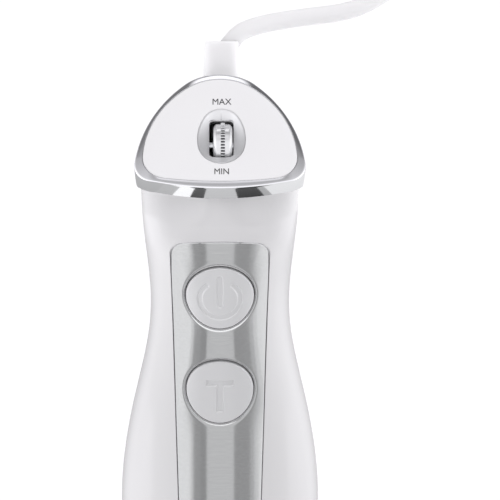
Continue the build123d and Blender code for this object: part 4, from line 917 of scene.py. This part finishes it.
for index, radius in enumerate(coil_radii):
    climb = coil_layer if index == len(coil_radii) // 2 else 0.0
    half_span = math.sqrt(radius ** 2 - (climb / 2) ** 2)
    far = corner + Vector((side * 2 * half_span, 0.0, climb))
    middle = (corner + far) / 2
    crest = middle + Vector((0.0, side * radius, 0.0))
    for step in range(1, half_turn_steps + 1):
        angle = math.pi * step / half_turn_steps
        lead_points.append(middle + (corner - middle) * math.cos(angle) + (crest - middle) * math.sin(angle))
    corner = far
    side = -side
coil_end = corner + coil_lead_in
plug_height = 0.0068
tail_straight, tail_raised, tail_end = 0.013, 0.035, 0.047
lead_points += [coil_end, coil_end + Vector((0.0, tail_straight, 0.0))]
lead_points += [Vector((coil_end.x, coil_end.y + along, plug_height)) for along in (tail_raised, tail_end)]
lead_curve = bpy.data.curves.new("mains_lead", "CURVE")
lead_curve.dimensions = "3D"
lead_curve.bevel_depth = lead_radius
lead_curve.bevel_resolution = 6
lead_curve.use_fill_caps = True
spline = lead_curve.splines.new("NURBS")
spline.points.add(len(lead_points) - 1)
for point, place in zip(spline.points, lead_points):
    point.co = (*place, 1.0)
spline.order_u = 3
spline.use_endpoint_u = True
spline.resolution_u = 8
# painted shade: the lead's vinyl is toned darker than the boot's, standing in for the grey shading along the
# lead
lead = fit(lead_curve, vinyl("lead_vinyl_painted_shade", 0.006, 0.74), "motor_unit", "lead_white",
           "power_cord", "cord_coil", "cord_tail")

dress(toned("plug_white", ((0.76, 0.76, 0.762), (0.8, 0.8, 0.8)), (0.4, 0.52), 160.0, 0.00004, edge=0.0006),
      "plug_body")
dress(toned("pin_brass", ((0.62, 0.58, 0.5), (0.74, 0.7, 0.62)), (0.18, 0.32), 200.0, 0.000008, metal),
      "plug_pins")
dress(toned("tie_white", ((0.7, 0.7, 0.7), (0.8, 0.8, 0.8)), (0.6, 0.8), 500.0, 0.0001, edge=0.0004),
      "cord_tie")

# Blending leg
# Detachable leg: a white collar with the twist lock, a drawn stainless tube and a deep-drawn guard with
# four arches, with plastic bushes inside for the blade's shaft.
dress(toned("leg_steel", ((0.6, 0.605, 0.615), (0.72, 0.725, 0.73)), (0.18, 0.3), 500.0, 0.000008,
            metal, (1, 1, 0.04)), "leg_tube", "blade_guard")
dress(toned("bush_white", ((0.68, 0.67, 0.63), (0.75, 0.74, 0.71)), (0.4, 0.55), 200.0, 0.00002),
      "leg_upper_bush", "leg_lower_bush")
dress(toned("blade_steel", ((0.58, 0.585, 0.6), (0.74, 0.745, 0.75)), (0.12, 0.26), 700.0, 0.000006,
            metal, (1, 0.06, 1)), "blade", "blade_nut")

# Studio
# Plain pale floor in a bright room, with large soft lights at the left, at the right and overhead. Small
# boards in front are seen by mirror-like faces only, and give the steel and the chrome their bands.
bpy.context.scene.view_settings.view_transform = "Standard"


def stage(mesh, material):
    """Put a piece of the studio in the scene."""
    mesh.materials.append(material)
    prop = add_object(mesh.name, mesh)
    return prop


def floor_tone(place):
    """Pale floor with a hardly visible drift."""
    drift = place.cloud(3.0)
    return drift.between((0.8, 0.8, 0.8), (0.82, 0.82, 0.82)), 0.6 + drift * 0.1


pale_floor = finish("pale_floor", {"Emission Color": (1, 1, 1, 1), "Emission Strength": 0.2}, floor_tone)
floor_half = 4.0
spread = np.linspace(-floor_half, floor_half, 3)
floor = stage(skin("floor", grid_of(spread, spread[:, None], 0.0)), pale_floor)
floor.visible_diffuse = floor.visible_glossy = False


def mirror_board(name, grid, glow):
    """Evenly glowing board that nothing but a mirror-like face sees."""
    constants = {"Base Color": (0, 0, 0, 1), "Emission Color": (1, 1, 1, 1), "Emission Strength": glow}
    prop = stage(skin(name, grid), finish(name, constants, lambda place: ()))
    prop.visible_camera = prop.visible_diffuse = prop.visible_shadow = False


screen_distance, screen_low, screen_high = 0.07, 0.165, 0.345
screen_edges = (-100, -40, -36, -26, -18, 19, 41, 47, 53, 60, 100)
screen_glows = (1.03, 0.78, 0.41, 0.36, 0.71, 0.4, 0.56, 0.8, 0.98, 1.05)
levels = np.linspace(screen_low, screen_high, 60)[:, None]
narrowing = np.interp(levels, (0.234, 0.244, 0.258, 0.264, 0.277, 0.296, 0.303, 0.309, 0.315, 0.322),
                      (0.63, 0.66, 0.71, 0.74, 1.0, 1.0, 0.82, 0.68, 0.6, 0.55))
for first, last, glow in zip(screen_edges, screen_edges[1:], screen_glows):
    turn = np.radians(np.linspace(first, last, 12)) * narrowing
    screen = grid_of(screen_distance * np.sin(turn), -screen_distance * np.cos(turn), levels)
    mirror_board(f"screen_{first}", screen, glow)
shelf_height, shelf_front, shelf_back = 0.355, -0.07, 0.02
neck_front, neck_side = -0.0275, 0.029
under_front, under_gap, under_glow = -0.12, 0.0005, 1.4
shelf_edges = (-0.09, -neck_side, -0.0205, -0.0128, -0.0069, 0.0076, 0.019, 0.0225, neck_side, 0.09)
shelf_glows = (0.5, 0.54, 1.2, 0.06, 0.62, 0.02, 0.45, 0.92, 0.92)


def level_board(name, sides, ends, height, glow):
    """Board that lies level at a height between two sides and two ends."""
    mirror_board(name, grid_of(np.linspace(*sides, 4), np.linspace(*ends, 4)[:, None], height), glow)


for first, last, glow in zip(shelf_edges, shelf_edges[1:], shelf_glows):
    back = neck_front if -neck_side <= first < neck_side else shelf_back
    level_board(f"shelf_{first}", (first, last), (shelf_front, back), shelf_height, glow)
level_board("under_shelf", (-neck_side, neck_side), (under_front, neck_front), shelf_height - under_gap,
            under_glow)

studio = bpy.data.worlds.new("studio")
studio.use_nodes = True
bpy.context.scene.world = studio
tree = studio.node_tree
direction = Value(tree.nodes.new("ShaderNodeTexCoord").outputs["Generated"])
mirrored = direction.node("LightPath", {}, "Is Glossy Ray")


def facing(axis):
    """How much a direction of the room faces along an axis, from -1 to 1."""
    return direction.vector("DOT_PRODUCT", "Value", tuple(Vector(axis).normalized()))


left_light, right_light, top_light = (-0.95, -0.1, 0.0), (1.0, 0.4, 0.0), (0.0, -0.2, 1.0)
low_left, low_right = (-0.7, -0.1, -0.7), (0.7, 0.1, -0.7)
lit = 0.58
for axis, start, glow in [(left_light, 0.5, 0.22), (right_light, 0.5, 1.42), (top_light, 0.5, 0.76),
                          (low_left, 0.4, 1.72), (low_right, 0.4, 0.85)]:
    lit = lit + facing(axis).step(start, 0.95) * glow
across, rise, toward = facing((1, 0, 0)), facing((0, 0, 1)), facing((0, -1, 0))
aside = across * across
slate = (0.2 - across * 0.08 + toward.step(-0.1, 0.5) * 0.26) * (0.3 + rise.step(-0.9, -0.5) * 0.7)
apex_patch = facing((0.0, 0.42, 0.91)).step(0.98, 0.992) * 1.2
low_room = aside.step(0.2, 0.8) * 0.9 * (1 - rise.step(0.3, 0.6))
front_light = toward.step(-0.35, 0.0) * rise.step(-0.6, -0.3) * (1 - rise.step(0.74, 0.88)) * 0.8
top_patch = toward.step(0.03, 0.1) * rise.step(0.86, 0.9) * (1 - aside.step(0.02, 0.06)) * 0.6
side_patch = aside.step(0.04, 0.12) * toward.step(-0.15, 0.0) * rise.step(0.8, 0.86) * 0.3
back_light = (toward * -1).step(0.1, 0.5) * (1 - rise.step(0.76, 0.86)) * 0.3
seen = slate + apex_patch + top_patch + side_patch + low_room + front_light + back_light
background = tree.nodes["Background"]
background.inputs["Color"].default_value = (1.0, 0.988, 1.015, 1.0)
brightness = lit + mirrored * (seen - lit)
tree.links.new(brightness.socket, background.inputs["Strength"])
